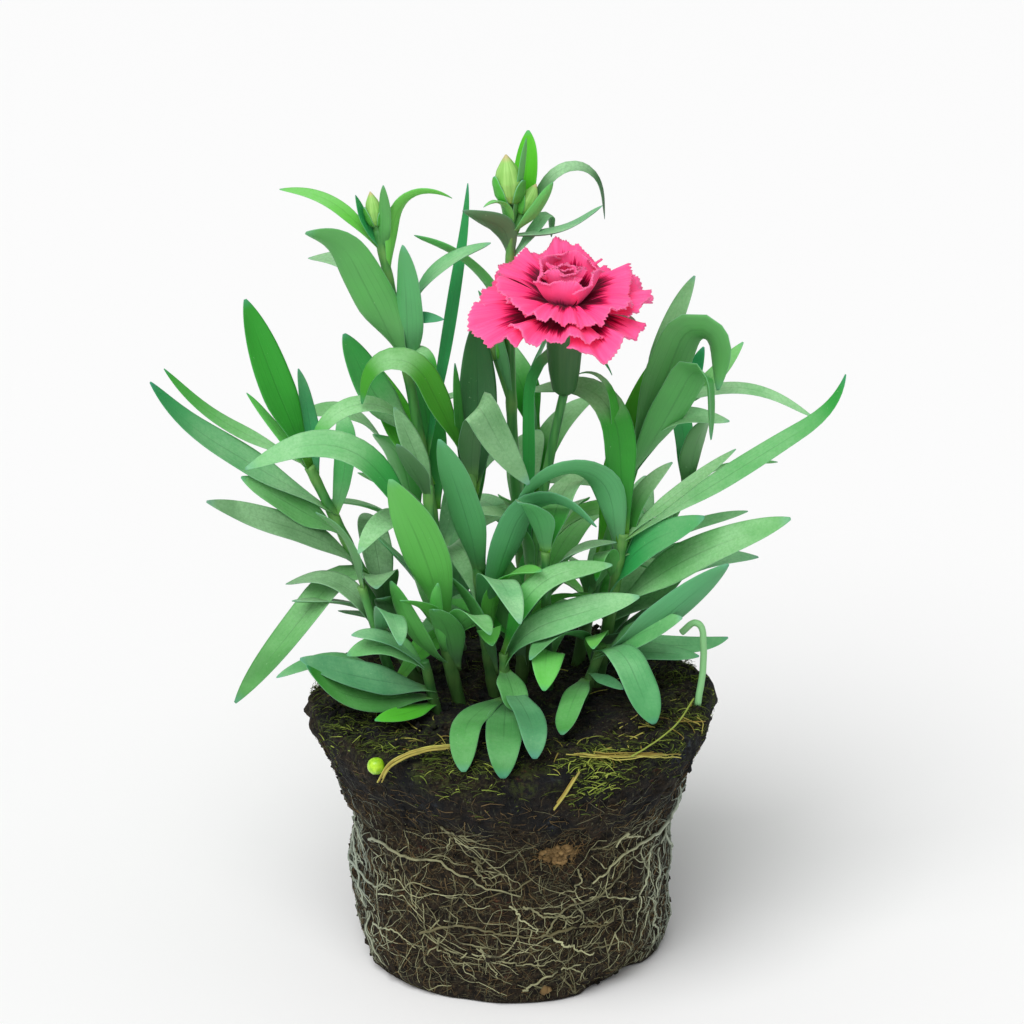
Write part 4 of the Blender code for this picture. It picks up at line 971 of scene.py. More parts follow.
def leaf_youth(name, leaf, chance):
    """How lime a leaf is: leaves low on a stem are young more often, those on the soil never."""
    odds = YOUNG_SHARE * (1.6 if leaf.at < 0.5 else 0.7)
    odds = 0 if name in OLD_SHOOTS or leaf.at < BLUNT_BELOW else odds
    return chance.uniform(0.45, 1.0) if chance.uniform() < odds else chance.uniform(0, 0.22)


def grow_shoot(name, chance):
    """Everything that hangs on one stem, as one piece."""
    stem, leaves = STEMS[name], plant_leaves[name]
    patches = [stem_patch(name, leaves)]
    for leaf in leaves:
        root = stem_line(stem, leaf.at, SEATS_FROM)
        patches.append(fine_blade(root, leaf, chance, leaf_youth(name, leaf, chance)))
    for bud in BUDS.get(name, []):
        patches += fine_bud(stem, bud, chance)
    if name == "flowering":
        patches += fine_calyx(chance)
    piece("shoot_" + name, patches, shoot_finishes, ["leafy_stem_" + name])


leaf_chance = np.random.default_rng(SEED + 20)
for stem_name in STEMS:
    grow_shoot(stem_name, leaf_chance)

# %% [markdown]
# Each petal is a fan on a narrow claw. Its rim is cut into fine teeth and ruffled. Colour runs
# along the petal: dark maroon in the throat, which reaches furthest along the petal's middle
# and breaks into ragged rays, then hot pink, and a pale line at the very rim. The throat shows
# on the petal's inner face, and the outer face is rosier.


# %% Petal material
PETAL_THROAT = tone(92, 2, 36)
PETAL_CRIMSON = tone(196, 12, 80)
PETAL_HOT = tone(255, 58, 128)
PETAL_ROSE = tone(255, 108, 166)
PETAL_RIM = tone(255, 150, 188)


def petal_paint():
    """Reach is how far along a point counts: rays, the middle and the inner face set it back."""
    mill = Mill("petal")
    across, along, uv = mill.across_and_along()
    draw, _, inside, shade = mill.traits()
    rays = mill.noise(mill.stretched(uv, (24.0, 0.7, 1.0)), 1.0, 3.0, 0.75)
    veins = mill.noise(mill.stretched(uv, (80.0, 1.5, 1.0)), 1.0, 2.0)
    from_middle = (across - 0.5).size() * 2
    # On the heart petals shade carries the throat further out: partly the eye's colour, partly painted
    # shade in the cup
    reach = along + (rays - 0.5) * 0.75 + from_middle * 0.26 - shade * 0.16 - inside * 0.3 + draw * 0.16
    rosy = (along.rise(0.5, 1.0) * 0.55 + veins.rise(0.4, 0.7) * 0.3).clamp()
    pink = mill.mix(PETAL_HOT, PETAL_ROSE, rosy)
    pink = mill.mix(PETAL_CRIMSON, pink, reach.rise(0.47, 0.57))
    pink = mill.mix(PETAL_THROAT, pink, reach.rise(0.38, 0.48))
    pink = mill.mix(pink, PETAL_ROSE, (1 - inside) * 0.3)
    pink = mill.mix(pink, PETAL_CRIMSON, veins.rise(0.6, 0.8) * 0.15)
    pink = mill.mix(pink, PETAL_RIM, along.rise(0.975, 1.0) * 0.3)
    # Petals glow faintly in their own pink: painted light that keeps them bright in shade
    return mill.finish(pink, 0.6, mill.bump(veins, 0.25, 0.0003), Sheen_Weight=0.05, Sheen_Roughness=0.5,
                       Subsurface_Weight=0.12, Subsurface_Radius=(0.004, 0.001, 0.0015),
                       Specular_IOR_Level=0.15, Emission_Color=pink, Emission_Strength=0.08)


# %% [markdown]
# A fine petal follows the plain one: it rises out of the calyx, falls open towards its rim and
# cups at its sides. Pleats that fan out from the claw, a second, smaller ruffle and a toothed
# rim are added on top. The four petals of the third ring stand up as a bowl. Three more and two
# small folded ones fill it.


# %% Petals
PETAL_ROWS = 18
PETAL_COLUMNS = 57
PETAL_SHEET = 0.36
PLAIN_TEETH = 7
BLOOM_SEED = 40
OPEN_RINGS = 2
HEART_RINGS = [Ring(2, 9.5, 10, 70, 96, 3.0, 0.45)]


def fine_petal(number, ring, index, draws, extra):
    """Reach and height are sums of cos and sin of the petal's lift; waves and teeth are added."""
    heading = math.radians(360 / ring.count * (index + 0.37 * number) + draws.uniform(-7, 7))
    rise, fall = ring.rise + draws.uniform(-6, 6), ring.fall + draws.uniform(-10, 10)
    size = ring.length * draws.uniform(0.92, 1.06)
    draws.uniform(0.6, 1.2, PLAIN_TEETH)  # the plain petal's own teeth
    pace, phase = draws.uniform(3, 5), draws.uniform(0, 6)
    pleats, turn, lobes = extra.uniform([7, 0, 3], [12, 6, 6])
    t = np.linspace(0, 1, PETAL_ROWS)
    lift = np.radians(rise + (fall - rise) * smooth((t[1:] + t[:-1]) / 2 * 1.1))
    out, high = (np.concatenate([[0], np.cumsum(part(lift))])[:, None] * size / (PETAL_ROWS - 1)
                 for part in (np.cos, np.sin))
    grown, x = np.meshgrid(t, np.linspace(-1, 1, PETAL_COLUMNS), indexing="ij")
    is_open = number < OPEN_RINGS
    calm = 1.0 if is_open else 0.45
    half = (ring.width / 2 * (1.14 if is_open else 1.0) * (0.15 + 0.85 * t ** 0.95))[:, None]
    teeth = extra.uniform(0.02, 0.34, PETAL_COLUMNS) ** 0.8
    teeth[::2] *= -1
    wave = np.sin(x * pace + phase) * size * 0.07 * calm * grown ** 2
    pleat = np.sin(x * pleats + turn) * size * 0.045 * calm * grown ** 1.6
    crimp = np.sin(x * pleats * 2.3 + phase) * size * 0.02 * calm * grown ** 4
    round_rim = 1 - 0.26 * x ** 2 * grown ** 2
    reach = out * round_rim + (teeth + np.cos(x[0] * lobes + turn)) * grown ** 14
    level = high * round_rim + ring.cup * half * x ** 2 + wave + pleat + crimp
    grid = np.stack([reach + 0.6, half * x, level + ring.start], -1)
    grid = grid @ np.array(Matrix.Rotation(heading, 3, "Z")).T @ bloom_turn.T + bloom_heart
    # Heart petals carry 0.7 in the shade trait: a darker throat, partly colour and partly painted shade
    # in the cup
    inner = 0 if is_open else 0.7
    return sheet_patch(grid, PETAL_SHEET, 0.5 + 0.5 * x, grown, (extra.uniform(0, 1), 0, 0, inner))


plain_draws = np.random.default_rng(BLOOM_SEED)
more_draws = np.random.default_rng(SEED + 61)
bloom = [fine_petal(number, ring, index, plain_draws if number < len(RINGS) else more_draws, more_draws)
         for number, ring in enumerate(RINGS + HEART_RINGS) for index in range(ring.count)]
piece("bloom_petals", bloom, [petal_paint()], ["bloom"])

# %% [markdown]
# The root ball keeps its pot's shape but is crumbly peat. Its surface is the plain profile
# carried round the axis, pushed in and out by value noise of several sizes: lumps the size of
# a pea, grains, and grit. The base stays flat so that the part stands.


# %% Value noise in three dimensions
def lattice(x, y, z, seed):
    """A fixed random number from 0 to 1 for every corner of a cubic lattice."""
    mixed = (x * 374761393 + y * 668265263 + z * 1274126177 + seed * 974634777) & 0xFFFFFFFF
    mixed = ((mixed ^ (mixed >> 13)) * 1103515245) & 0xFFFFFFFF
    mixed = ((mixed ^ (mixed >> 15)) * 2246822519) & 0xFFFFFFFF
    return (mixed & 0xFFFFFF) / 0xFFFFFF


def cloud_noise(points, size, seed):
    """Lattice numbers blended softly between the corners of cubes of one size, from -1 to 1."""
    scaled = np.asarray(points) / size + 1000.0
    corner = np.floor(scaled).astype(np.int64)
    part = smooth(scaled - corner)
    total = 0
    for shift in np.ndindex(2, 2, 2):
        weight = np.prod(np.where(shift, part, 1 - part), axis=-1)
        total = total + weight * lattice(*np.moveaxis(corner + np.array(shift), -1, 0), seed)
    return total * 2 - 1


def peat_relief(points):
    """Lumps, grains and grit, in millimetres. Hollows are deeper than lumps are high."""
    total = sum(depth * cloud_noise(points, size, seed)
                for depth, size, seed in ((0.8, 8.0, 1), (0.7, 3.2, 2), (0.5, 1.4, 3)))
    return np.where(total < 0, total * 1.25, total * 0.8)


# %% [markdown]
# Peat is nearly black when wet, with brown bark, reddish fibres and a dusty blue-grey film
# where it touched the pot. The rim is greener, because moss grows where light reaches it. Roots
# have a bluish film at the ball's left and right edges.


# %% Peat, root, moss and small-bit materials
def peat_paint():
    """Layers from the darkest up: grains, grit, red lumps, two kinds of fibre, film and moss."""
    mill = Mill("crumbly_peat")
    place = mill.place()
    height = mill.numbers(place)[2]
    lumps = mill.noise(place, 170.0, 4.0, 0.6)
    grains = mill.noise(place, 700.0, 4.0, 0.65)
    grit = mill.noise(place, 2200.0, 2.0, 0.6)
    fibres = mill.noise(mill.stretched(place, (1500.0, 1500.0, 420.0)), 1.0)
    threads = mill.noise(mill.stretched(place, (500.0, 500.0, 1900.0)), 1.0)
    film = mill.noise(place, 90.0)
    rim = height.rise(0.040, 0.050)
    moss = height.rise(0.056, 0.066) * lumps.rise(0.48, 0.62) * grains.rise(0.42, 0.62)
    brown = tone(9, 9, 9)
    for layer, share in (
            (tone(58, 48, 35), grains.rise(0.34, 0.68) * 0.8 + lumps * 0.2),
            (tone(116, 94, 62), grains.rise(0.6, 0.76) * grit.rise(0.4, 0.62) * 0.8),
            (tone(104, 52, 32), lumps.rise(0.6, 0.7) * threads.rise(0.5, 0.62) * 0.6),
            (tone(112, 112, 86), fibres.rise(0.6, 0.7) * 0.55),
            (tone(100, 94, 66), threads.rise(0.6, 0.7) * 0.5),
            (tone(15, 19, 24), rim * film.rise(0.35, 0.6) * 0.75),
            (tone(84, 104, 120), rim * film.rise(0.58, 0.72) * grains.rise(0.5, 0.64) * 0.3),
            (tone(62, 74, 30), moss * 0.75)):
        brown = mill.mix(brown, layer, share.clamp())
    relief = grains + lumps * 0.5 + fibres * 0.5 + grit * 0.4
    normal = mill.bump(relief, 1.0, 0.0014)
    return mill.finish(brown, 0.8 + 0.18 * grains, normal, Specular_IOR_Level=0.22)


def strand_paint(name, low, high, roughness, soiled, film=None):
    """A fibre whose colour drifts along it and from one to the next, with peat clinging to it."""
    mill = Mill(name)
    draw = mill.traits()[0]
    place = mill.place()
    cloud = mill.noise(place, 260.0)
    colour = mill.mix(tone(*low), tone(*high), (draw * 0.8 + cloud * 0.5 - 0.2).clamp())
    if film:
        sideways = mill.numbers(place)[0].size()
        colour = mill.mix(colour, tone(*film), sideways.rise(0.024, 0.044) * 0.55)
    colour = mill.mix(colour, tone(34, 28, 21), (cloud.rise(0.5, 0.72) * soiled).clamp())
    return mill.finish(colour, roughness, mill.bump(cloud, 0.3, 0.0003), Specular_IOR_Level=0.25)


peat_finish = peat_paint()
root_finish = strand_paint("pale_root", (96, 90, 60), (200, 202, 158), 0.62, 0.8, (172, 192, 188))
hair_finish = strand_paint("root_hair", (70, 62, 42), (146, 146, 112), 0.75, 0.6, (112, 128, 128))
fibre_finish = strand_paint("peat_fibre", (56, 42, 28), (132, 112, 76), 0.85, 0.4)
moss_finish = strand_paint("moss", (34, 46, 20), (118, 134, 50), 0.8, 0.5)
bright_moss_finish = strand_paint("bright_moss", (78, 108, 32), (190, 204, 92), 0.7, 0.3)
straw_finish = strand_paint("straw", (142, 118, 54), (206, 204, 104), 0.7, 0.4)
bark_finish = strand_paint("bark", (96, 76, 46), (164, 134, 88), 0.9, 0.3)
stalk_finish = strand_paint("green_stalk", (92, 170, 104), (160, 214, 150), 0.5, 0.1)
print("finishes so far:", [paint.name for paint in bpy.data.materials])

# %% [markdown]
# The skin of the ball is one closed grid: rings of points from the middle of the base, up the
# wall, over the rim and in across the soil. A bite is worn out of the bottom edge at the front
# right, as in the photograph.


# %% The peat skin
SKIN_COLUMNS = 400
BASE_ROWS = 14
BASE_REACH = 37
WALL_STEP = 0.6
SOIL_ROWS = 24
SOIL_REACH = 20
BITE_HEADING = -42
BITE_DEPTH = 3.6


def skin_profile():
    """Radius and height along the base, the wall, the rim and the soil, and which rows are soil."""
    radii, heights = (np.array(row, float) for row in zip(*BALL_PROFILE))
    radii = np.concatenate([[0.4, 20], radii, [30, 15, 0.4]])
    heights = np.concatenate([[0, 0], heights, [SOIL_HEIGHT] * 3])
    length = np.concatenate([[0], np.cumsum(np.hypot(np.diff(radii), np.diff(heights)))])
    end = length[-1]
    steps = np.concatenate([np.linspace(0, BASE_REACH, BASE_ROWS)[:-1],
                            np.arange(BASE_REACH, end - SOIL_REACH, WALL_STEP),
                            np.linspace(end - SOIL_REACH, end, SOIL_ROWS)])
    return np.interp(steps, length, radii), np.interp(steps, length, heights), steps > length[-4]


def worn_edges(grid, heights):
    """Bites out of the bottom edge and lumps on the rim, as a change of radius."""
    turn = np.degrees(np.arctan2(grid[..., 1], grid[..., 0]))
    bites = 2.6 * np.maximum(cloud_noise(grid * (1, 1, 0.2), 11.0, 12), 0)
    bites = bites + BITE_DEPTH * np.exp(-((turn - BITE_HEADING) / 17) ** 2)
    rim_lumps = 1.1 * cloud_noise(grid, 5.5, 13)
    return rim_lumps * np.exp(-((heights - 63) / 4.0) ** 2) - bites * np.exp(-(heights / 5.0) ** 2)


def skin_grid():
    """Profile carried round the axis, then moved along its normal by the relief."""
    radii, heights, on_top = skin_profile()
    turn = np.arange(SKIN_COLUMNS) * 2 * np.pi / SKIN_COLUMNS
    radius = np.repeat(radii[:, None], SKIN_COLUMNS, axis=1)
    radius[~on_top] += wall_swells(turn, heights[~on_top, None])
    x, y = radius * np.cos(turn), radius * np.sin(turn)
    z = np.where(on_top[:, None], soil_height(x, y), heights[:, None])
    grid = np.stack([x, y, z], -1)
    wear = worn_edges(grid, np.where(on_top, 90.0, heights)[:, None]) * smooth((radii[:, None] - 20) / 15)
    grid = grid + toward(turn, 0 * turn) * wear[..., None]
    around, up = np.gradient(grid, axis=1), np.gradient(grid, axis=0)
    around[:, 0], around[:, -1] = grid[:, 1] - grid[:, -1], grid[:, 0] - grid[:, -2]
    free = (smooth(heights / 3) * smooth((radii - 0.4) / 6))[:, None, None]
    return grid + unit(np.cross(around, up)) * (peat_relief(grid)[..., None] - 0.1) * free


peat_grid = skin_grid()
peat_rows = np.linspace(0, 1, len(peat_grid))[:, None]
peat_skin = closed_patch(peat_grid, np.arange(SKIN_COLUMNS) / SKIN_COLUMNS, peat_rows, (0, 0, 0, 0))
piece("peat_skin", [peat_skin], [peat_finish], ["root_ball"])

# %% [markdown]
# Loose things lie on the peat, so their place is read from a table of the skin's radius by
# heading and height.


# %% Where the skin is
TABLE_FOOT = 0.5
TABLE_STEP = 0.5
TABLE_ROWS = 124


def skin_table():
    """Radius of the skin's wall on a regular grid of heading and height."""
    wall = peat_grid[BASE_ROWS:]
    wall = wall[:np.argmax(wall[:, 0, 2] > 63)]
    radius = np.hypot(wall[..., 0], wall[..., 1])
    level = TABLE_FOOT + TABLE_STEP * np.arange(TABLE_ROWS)
    return np.stack([np.interp(level, wall[:, c, 2], radius[:, c]) for c in range(SKIN_COLUMNS)], 1)


radius_table = skin_table()


def wall_reach(heading, height):
    """The skin's radius near a heading and height, from the four nearest entries."""
    column = (np.asarray(heading) % 360) / 360 * SKIN_COLUMNS
    row = np.clip((np.asarray(height) - TABLE_FOOT) / TABLE_STEP, 0, TABLE_ROWS - 1.001)
    c, r = np.floor(column).astype(int), np.floor(row).astype(int)
    fc, fr = column - c, row - r
    c, after = c % SKIN_COLUMNS, (c + 1) % SKIN_COLUMNS
    low = radius_table[r, c] * (1 - fc) + radius_table[r, after] * fc
    high = radius_table[r + 1, c] * (1 - fc) + radius_table[r + 1, after] * fc
    return low * (1 - fr) + high * fr


def on_wall(heading, height, lift):
    """A point on the ball's side, lifted off the skin."""
    reach = wall_reach(heading, height) + lift
    turn = np.radians(heading)
    return np.stack([reach * np.cos(turn), reach * np.sin(turn), np.asarray(height, float)], -1)


print("skin radius at the front, half way up:", round(float(wall_reach(270.0, 33.0)), 1), "mm")

# %% [markdown]
# Roots hunt for a way out and end up pressed flat against the pot, so they run round the ball,
# cross, fork and thin out. The thick ones follow lines seen in the photograph, written as a
# radius and then pairs of heading and height.

# %% Thick roots, as lines on the wall
ROOT_LINES = [
    (0.42, (210, 36), (224, 38), (233, 37), (244, 38), (248, 36), (254, 34), (261, 32), (268, 31),
     (273, 30)),
    (0.38, (183, 24), (203, 23), (211, 22), (218, 26), (225, 25), (234, 31), (244, 30)),
    (0.50, (345, 43), (342, 38), (334, 36), (318, 36), (306, 34), (298, 32)),
    (0.34, (345, 40), (338, 33), (331, 29), (331, 20)),
    (0.34, (356, 38), (355, 22), (354, 12), (350, 4)),
    (0.42, (280, 19), (287, 20), (295, 19), (304, 18), (308, 19), (310, 23)),
    (0.30, (282, 20), (290, 26), (298, 29), (308, 31), (318, 33)),
    (0.38, (236, 17), (245, 20), (252, 21), (259, 20), (267, 19), (277, 18), (283, 20)),
    (0.32, (269, 27), (274, 23), (279, 20)),
    (0.30, (256, 39), (259, 36), (263, 33)),
    (0.26, (257, 40), (261, 37), (264, 33)),
    (0.30, (246, 48), (250, 47), (256, 47), (262, 47)),
    (0.24, (250, 47), (250, 43)),
    (0.30, (285, 18), (291, 16), (295, 13), (301, 12)),
    (0.26, (244, 17), (242, 13), (247, 12), (254, 11), (259, 11)),
    (0.30, (328, 33), (324, 23), (322, 14)),
    (0.30, (332, 14), (338, 8), (334, 2)),
    (0.40, (274, 4), (278, 6), (287, 9), (295, 10)),
    (0.36, (184, 34), (194, 26), (202, 18), (203, 12), (210, 8), (217, 2)),
    (0.36, (188, 46), (194, 36), (204, 31)),
    (0.24, (259, 16), (261, 12), (265, 8)),
    (0.28, (298, 41), (303, 39), (308, 39), (309, 36)),
    (0.28, (309, 39), (311, 43), (316, 42), (324, 38)),
    (0.30, (274, 27), (281, 25), (288, 23), (295, 23)),
    (0.24, (265, 13), (273, 12), (282, 13), (290, 12)),
    (0.30, (293, 36), (293, 32), (290, 30), (286, 30)),
    (0.26, (209, 13), (223, 14), (233, 12)),
    (0.34, (340, 50), (344, 40), (346, 28), (344, 14)),
]
BACK_TURN = 158
LINE_STEPS = 40
LOWEST = 0.9
WALL_RADIUS = 39.5
DEGREE = 0.68  # what one degree round the wall measures


def along_corners(corners):
    """Heading and height at even steps along a line of corners, with softened bends."""
    corners = np.array(corners, float)
    stretch = np.hypot(np.diff(corners[:, 0]) * DEGREE, np.diff(corners[:, 1]))
    length = np.concatenate([[0], np.cumsum(stretch)])
    t = np.linspace(0, length[-1], LINE_STEPS)
    line = np.stack([np.interp(t, length, corners[:, 0]), np.interp(t, length, corners[:, 1])])
    for _ in range(3):
        line[:, 1:-1] = (line[:, :-2] + line[:, 1:-1] * 2 + line[:, 2:]) / 4
    return line


def wriggled(heading, height, amount, chance):
    """Adds smooth wandering to headings and heights, and seats the line on the skin."""
    count, steps = heading.shape
    wander = np.cumsum(chance.normal(0, 1, (2, count, steps)), axis=2)
    t = np.linspace(0, 1, steps)
    wander = wander - wander[:, :, :1] * (1 - t) - wander[:, :, -1:] * t
    heading = heading + wander[0] * amount * 0.4
    height = np.clip(height + wander[1] * amount * 0.26, LOWEST, 60)
    lift = 0.2 + 0.35 * np.abs(np.sin(chance.uniform(0, 6.28, (count, 1)) + 9 * t))
    return on_wall(heading, height, lift)


def traced_roots(chance):
    """The thick roots, once at the front where they were seen and once behind."""
    lines = np.array([along_corners(line[1:]) for line in ROOT_LINES])
    both = np.concatenate([lines, lines + np.array([[BACK_TURN], [0]])])
    thick = np.array([line[0] for line in ROOT_LINES] * 2)[:, None]
    taper = 0.9 - 0.5 * np.linspace(0, 1, LINE_STEPS) ** 1.5
    radii = thick * taper * chance.uniform(0.85, 1.1, (len(both), 1))
    return wriggled(both[:, 0], both[:, 1], 0.8, chance), radii, both


print("thick roots seen at the front:", len(ROOT_LINES))

# %% [markdown]
# The other roots are random walks over the side: the direction drifts a little at every step.
# Some fork off the thick ones, and more run near the ball's left and right edges. The same walks
# make the hairs of the roots and the fibres of the peat.


# %% Root net, hairs and peat fibres
FORKS_EACH = 4
NET_ROOTS = 190
EDGE_ROOTS = 84
NET_HAIRS = 2400
PEAT_FIBRES = 4200
FORK_STEPS = 18
NET_STEPS = 28
EDGE_STEPS = 24
HAIR_STEPS = 7
FIBRE_STEPS = 6
EDGES = ((176, 212), (322, 364))


def walk(heading, height, course, steps, length, turning, top, chance):
    """Random walks over the side: heading and height grow along a course that drifts."""
    count = len(heading)
    bearing = course[:, None] + np.cumsum(chance.normal(0, turning, (count, steps)), axis=1)
    step = length[:, None] / steps
    around = heading[:, None] + np.degrees(np.cumsum(np.cos(bearing) * step, axis=1) / WALL_RADIUS)
    level = height[:, None] + np.cumsum(np.sin(bearing) * step, axis=1)
    level = np.abs(level - LOWEST) + LOWEST
    level = np.minimum(level, 2 * (top + 6) - level)
    lift = 0.05 + 0.4 * chance.uniform(0, 1, (count, 1)) * np.abs(np.sin(np.linspace(0, 8, steps)))
    return on_wall(around, np.clip(level, LOWEST, 61), lift)


def side_roots(lines, chance):
    """Fine roots that fork off the thick ones and turn away from them."""
    owner = np.repeat(np.arange(len(lines)), FORKS_EACH)
    start = chance.integers(4, LINE_STEPS - 6, len(owner))
    heading, height = lines[owner, 0, start], lines[owner, 1, start]
    across, up = lines[owner, 0, start + 4] - heading, lines[owner, 1, start + 4] - height
    turn = chance.choice([-1, 1], len(owner)) * chance.uniform(0.4, 1.2, len(owner))
    course = np.arctan2(up, across * DEGREE) + turn
    return walk(heading, height, course, FORK_STEPS, chance.uniform(5, 16, len(owner)), 0.26, 52, chance)


def net_walks(count, steps, length, spread, top, chance, arcs=((0, 360),), upright=0.0):
    """Walks that start anywhere in the arcs and run mostly level, or mostly down."""
    arc = np.array(arcs, float)[chance.integers(0, len(arcs), count)]
    heading = chance.uniform(arc[:, 0], arc[:, 1])
    height = 2 + (top - 2) * chance.beta(1.15, 1.4, count)
    course = chance.normal(0, spread, count) + np.where(chance.uniform(0, 1, count) < 0.5, 0, np.pi)
    course = np.where(chance.uniform(0, 1, count) < upright, course + np.pi / 2, course)
    return walk(heading, height, course, steps, chance.uniform(*length, count), 0.24, top, chance)


def strands(paths, thick, sides, chance):
    """Tubes that thin out along each path; most are near the thin end of the range of radii."""
    count, steps = paths.shape[:2]
    radii = (thick[0] + (thick[1] - thick[0]) * chance.uniform(0, 1, count) ** 1.8)[:, None]
    return many_tubes(paths, radii * (1 - 0.7 * np.linspace(0, 1, steps)), outward(paths), sides, chance)


def outward(paths):
    """Directions away from the ball's axis, which give the tubes a frame."""
    return unit(paths * (1, 1, 0))


root_chance = np.random.default_rng(SEED + 31)
thick_paths, thick_radii, thick_lines = traced_roots(root_chance)
fork_paths = side_roots(thick_lines, root_chance)
net_paths = net_walks(NET_ROOTS, NET_STEPS, (12, 44), 0.5, 44, root_chance, upright=0.25)
edge_paths = net_walks(EDGE_ROOTS, EDGE_STEPS, (10, 34), 0.4, 44, root_chance, EDGES, 0.85)
root_patches = [many_tubes(thick_paths, thick_radii, outward(thick_paths), 6, root_chance),
                strands(fork_paths, (0.1, 0.22), 4, root_chance),
                strands(net_paths, (0.08, 0.26), 4, root_chance),
                strands(edge_paths, (0.08, 0.22), 4, root_chance)]
piece("root_strands", root_patches, [root_finish], ["root_net"])
hair_paths = net_walks(NET_HAIRS, HAIR_STEPS, (2.5, 11), 1.4, 54, root_chance)
piece("root_hairs", [strands(hair_paths, (0.035, 0.11), 3, root_chance)], [hair_finish], ())
fibre_paths = net_walks(PEAT_FIBRES, FIBRE_STEPS, (1.5, 6), 3.0, 60, root_chance)
piece("peat_fibres", [strands(fibre_paths, (0.05, 0.17), 3, root_chance)], [fibre_finish], ())

# %% [markdown]
# The rim and the soil carry moss and bits of straw. Each strand is a short bent tube with three
# sides, so that thousands of them stay light. Moss grows in clumps, so its places crowd round a
# few centres.

# %% Moss and straw
MOSS_CLUMPS = [(18, -44, 4.5), (25, -40, 4), (-5, -45, 6), (-15, -44, 5), (-30, -36, 5), (38, -30, 4),
               (44, -16, 4), (-42, -22, 5), (-44, 8, 6), (-20, 42, 7), (8, 46, 6), (34, 32, 6),
               (45, 6, 5)]
BRIGHT_CLUMP = (19.0, -44.0)
LITTER_REACH = 49.6
LITTER_STEPS = 6


def litter_limit(x, y, height):
    """How far out litter may lie: on the wall below the rim, and just inside it above."""
    return np.where(height < 60, wall_reach(np.degrees(np.arctan2(y, x)), height) + 0.4, LITTER_REACH)


def on_soil(x, y):
    """A point on the soil, which rolls down over the rim."""
    radius = np.maximum(np.hypot(x, y), 1)
    shrink = np.minimum(1, 49.0 / radius)
    height = soil_height(x * shrink, y * shrink) - 0.22 * np.maximum(radius - 45, 0) ** 1.6
    shrink = np.minimum(1, litter_limit(x, y, height) / radius)
    return np.stack([x * shrink, y * shrink, height], 1)


def soil_places(count, inner, outer, chance, arc=(0, 360)):
    """Random places on the soil between two radii."""
    radius = np.sqrt(chance.uniform(inner ** 2, outer ** 2, count))
    turn = np.radians(chance.uniform(*arc, count))
    return on_soil(radius * np.cos(turn), radius * np.sin(turn))


def clump_places(each, chance):
    """Places crowded round the centres of the clumps."""
    centre = np.repeat(np.array(MOSS_CLUMPS, float), each, axis=0)
    return on_soil(*(centre[:, :2].T + chance.normal(0, 1, (2, len(centre))) * centre[:, 2]))


def litter(places, length, thick, lift, chance):
    """Bent strands that start at the places and lean over in random directions."""
    count = len(places)
    turn, size = chance.uniform(0, 2 * np.pi, count), chance.uniform(*length, (count, 1, 1))
    t = np.linspace(0, 1, LITTER_STEPS)[:, None]
    level = np.zeros(count)
    ahead = np.stack([np.cos(turn), np.sin(turn), chance.uniform(*lift, count)], 1)[:, None]
    sideways = np.stack([-np.sin(turn), np.cos(turn), level], 1)[:, None]
    bend, drop = chance.uniform(-0.7, 0.7, (count, 1, 1)), chance.uniform(0.2, 0.7, (count, 1, 1))
    paths = places[:, None] + size * (ahead * t + (sideways * bend - drop * (0, 0, 1.0)) * t ** 2)
    limit = litter_limit(paths[..., 0], paths[..., 1], paths[..., 2])
    paths[..., :2] *= np.minimum(1, limit / np.hypot(paths[..., 0], paths[..., 1]))[..., None]
    radii = chance.uniform(*thick, (count, 1)) * (1 - 0.6 * t[:, 0])
    return many_tubes(paths, radii, (0.1, 0.2, 1.0), 3, chance)


soil_chance = np.random.default_rng(SEED + 47)
moss = [(soil_places(1900, 33, 49, soil_chance), (1, 3.6), (0.05, 0.13), (0.0, 0.5)),
        (clump_places(120, soil_chance), (1.2, 4.2), (0.05, 0.14), (0.0, 0.7)),
        (soil_places(350, 8, 36, soil_chance), (1, 4), (0.06, 0.14), (0.1, 0.6))]
piece("moss_strands", [litter(*row, soil_chance) for row in moss], [moss_finish], ())
bright_moss = [(clump_places(20, soil_chance), (1.5, 4.5), (0.07, 0.18), (0.0, 0.6)),
               (on_soil(*(np.array(BRIGHT_CLUMP)[:, None] + soil_chance.normal(0, 4, (2, 130)))),
                (1.5, 6), (0.08, 0.22), (0.1, 0.7))]
piece("bright_moss", [litter(*row, soil_chance) for row in bright_moss], [bright_moss_finish], ())
straws = [(soil_places(46, 30, 47, soil_chance, (215, 360)), (3, 10), (0.1, 0.3), (0.05, 0.3)),
          (soil_places(30, 20, 46, soil_chance), (3, 8), (0.1, 0.25), (0.05, 0.3))]
piece("straw_strands", [litter(*row, soil_chance) for row in straws], [straw_finish], ())

# %% [markdown]
# Crumbs of peat lie on the soil and stick to the wall. Each is a lump with twenty faces: an
# icosahedron whose corners are moved a little.

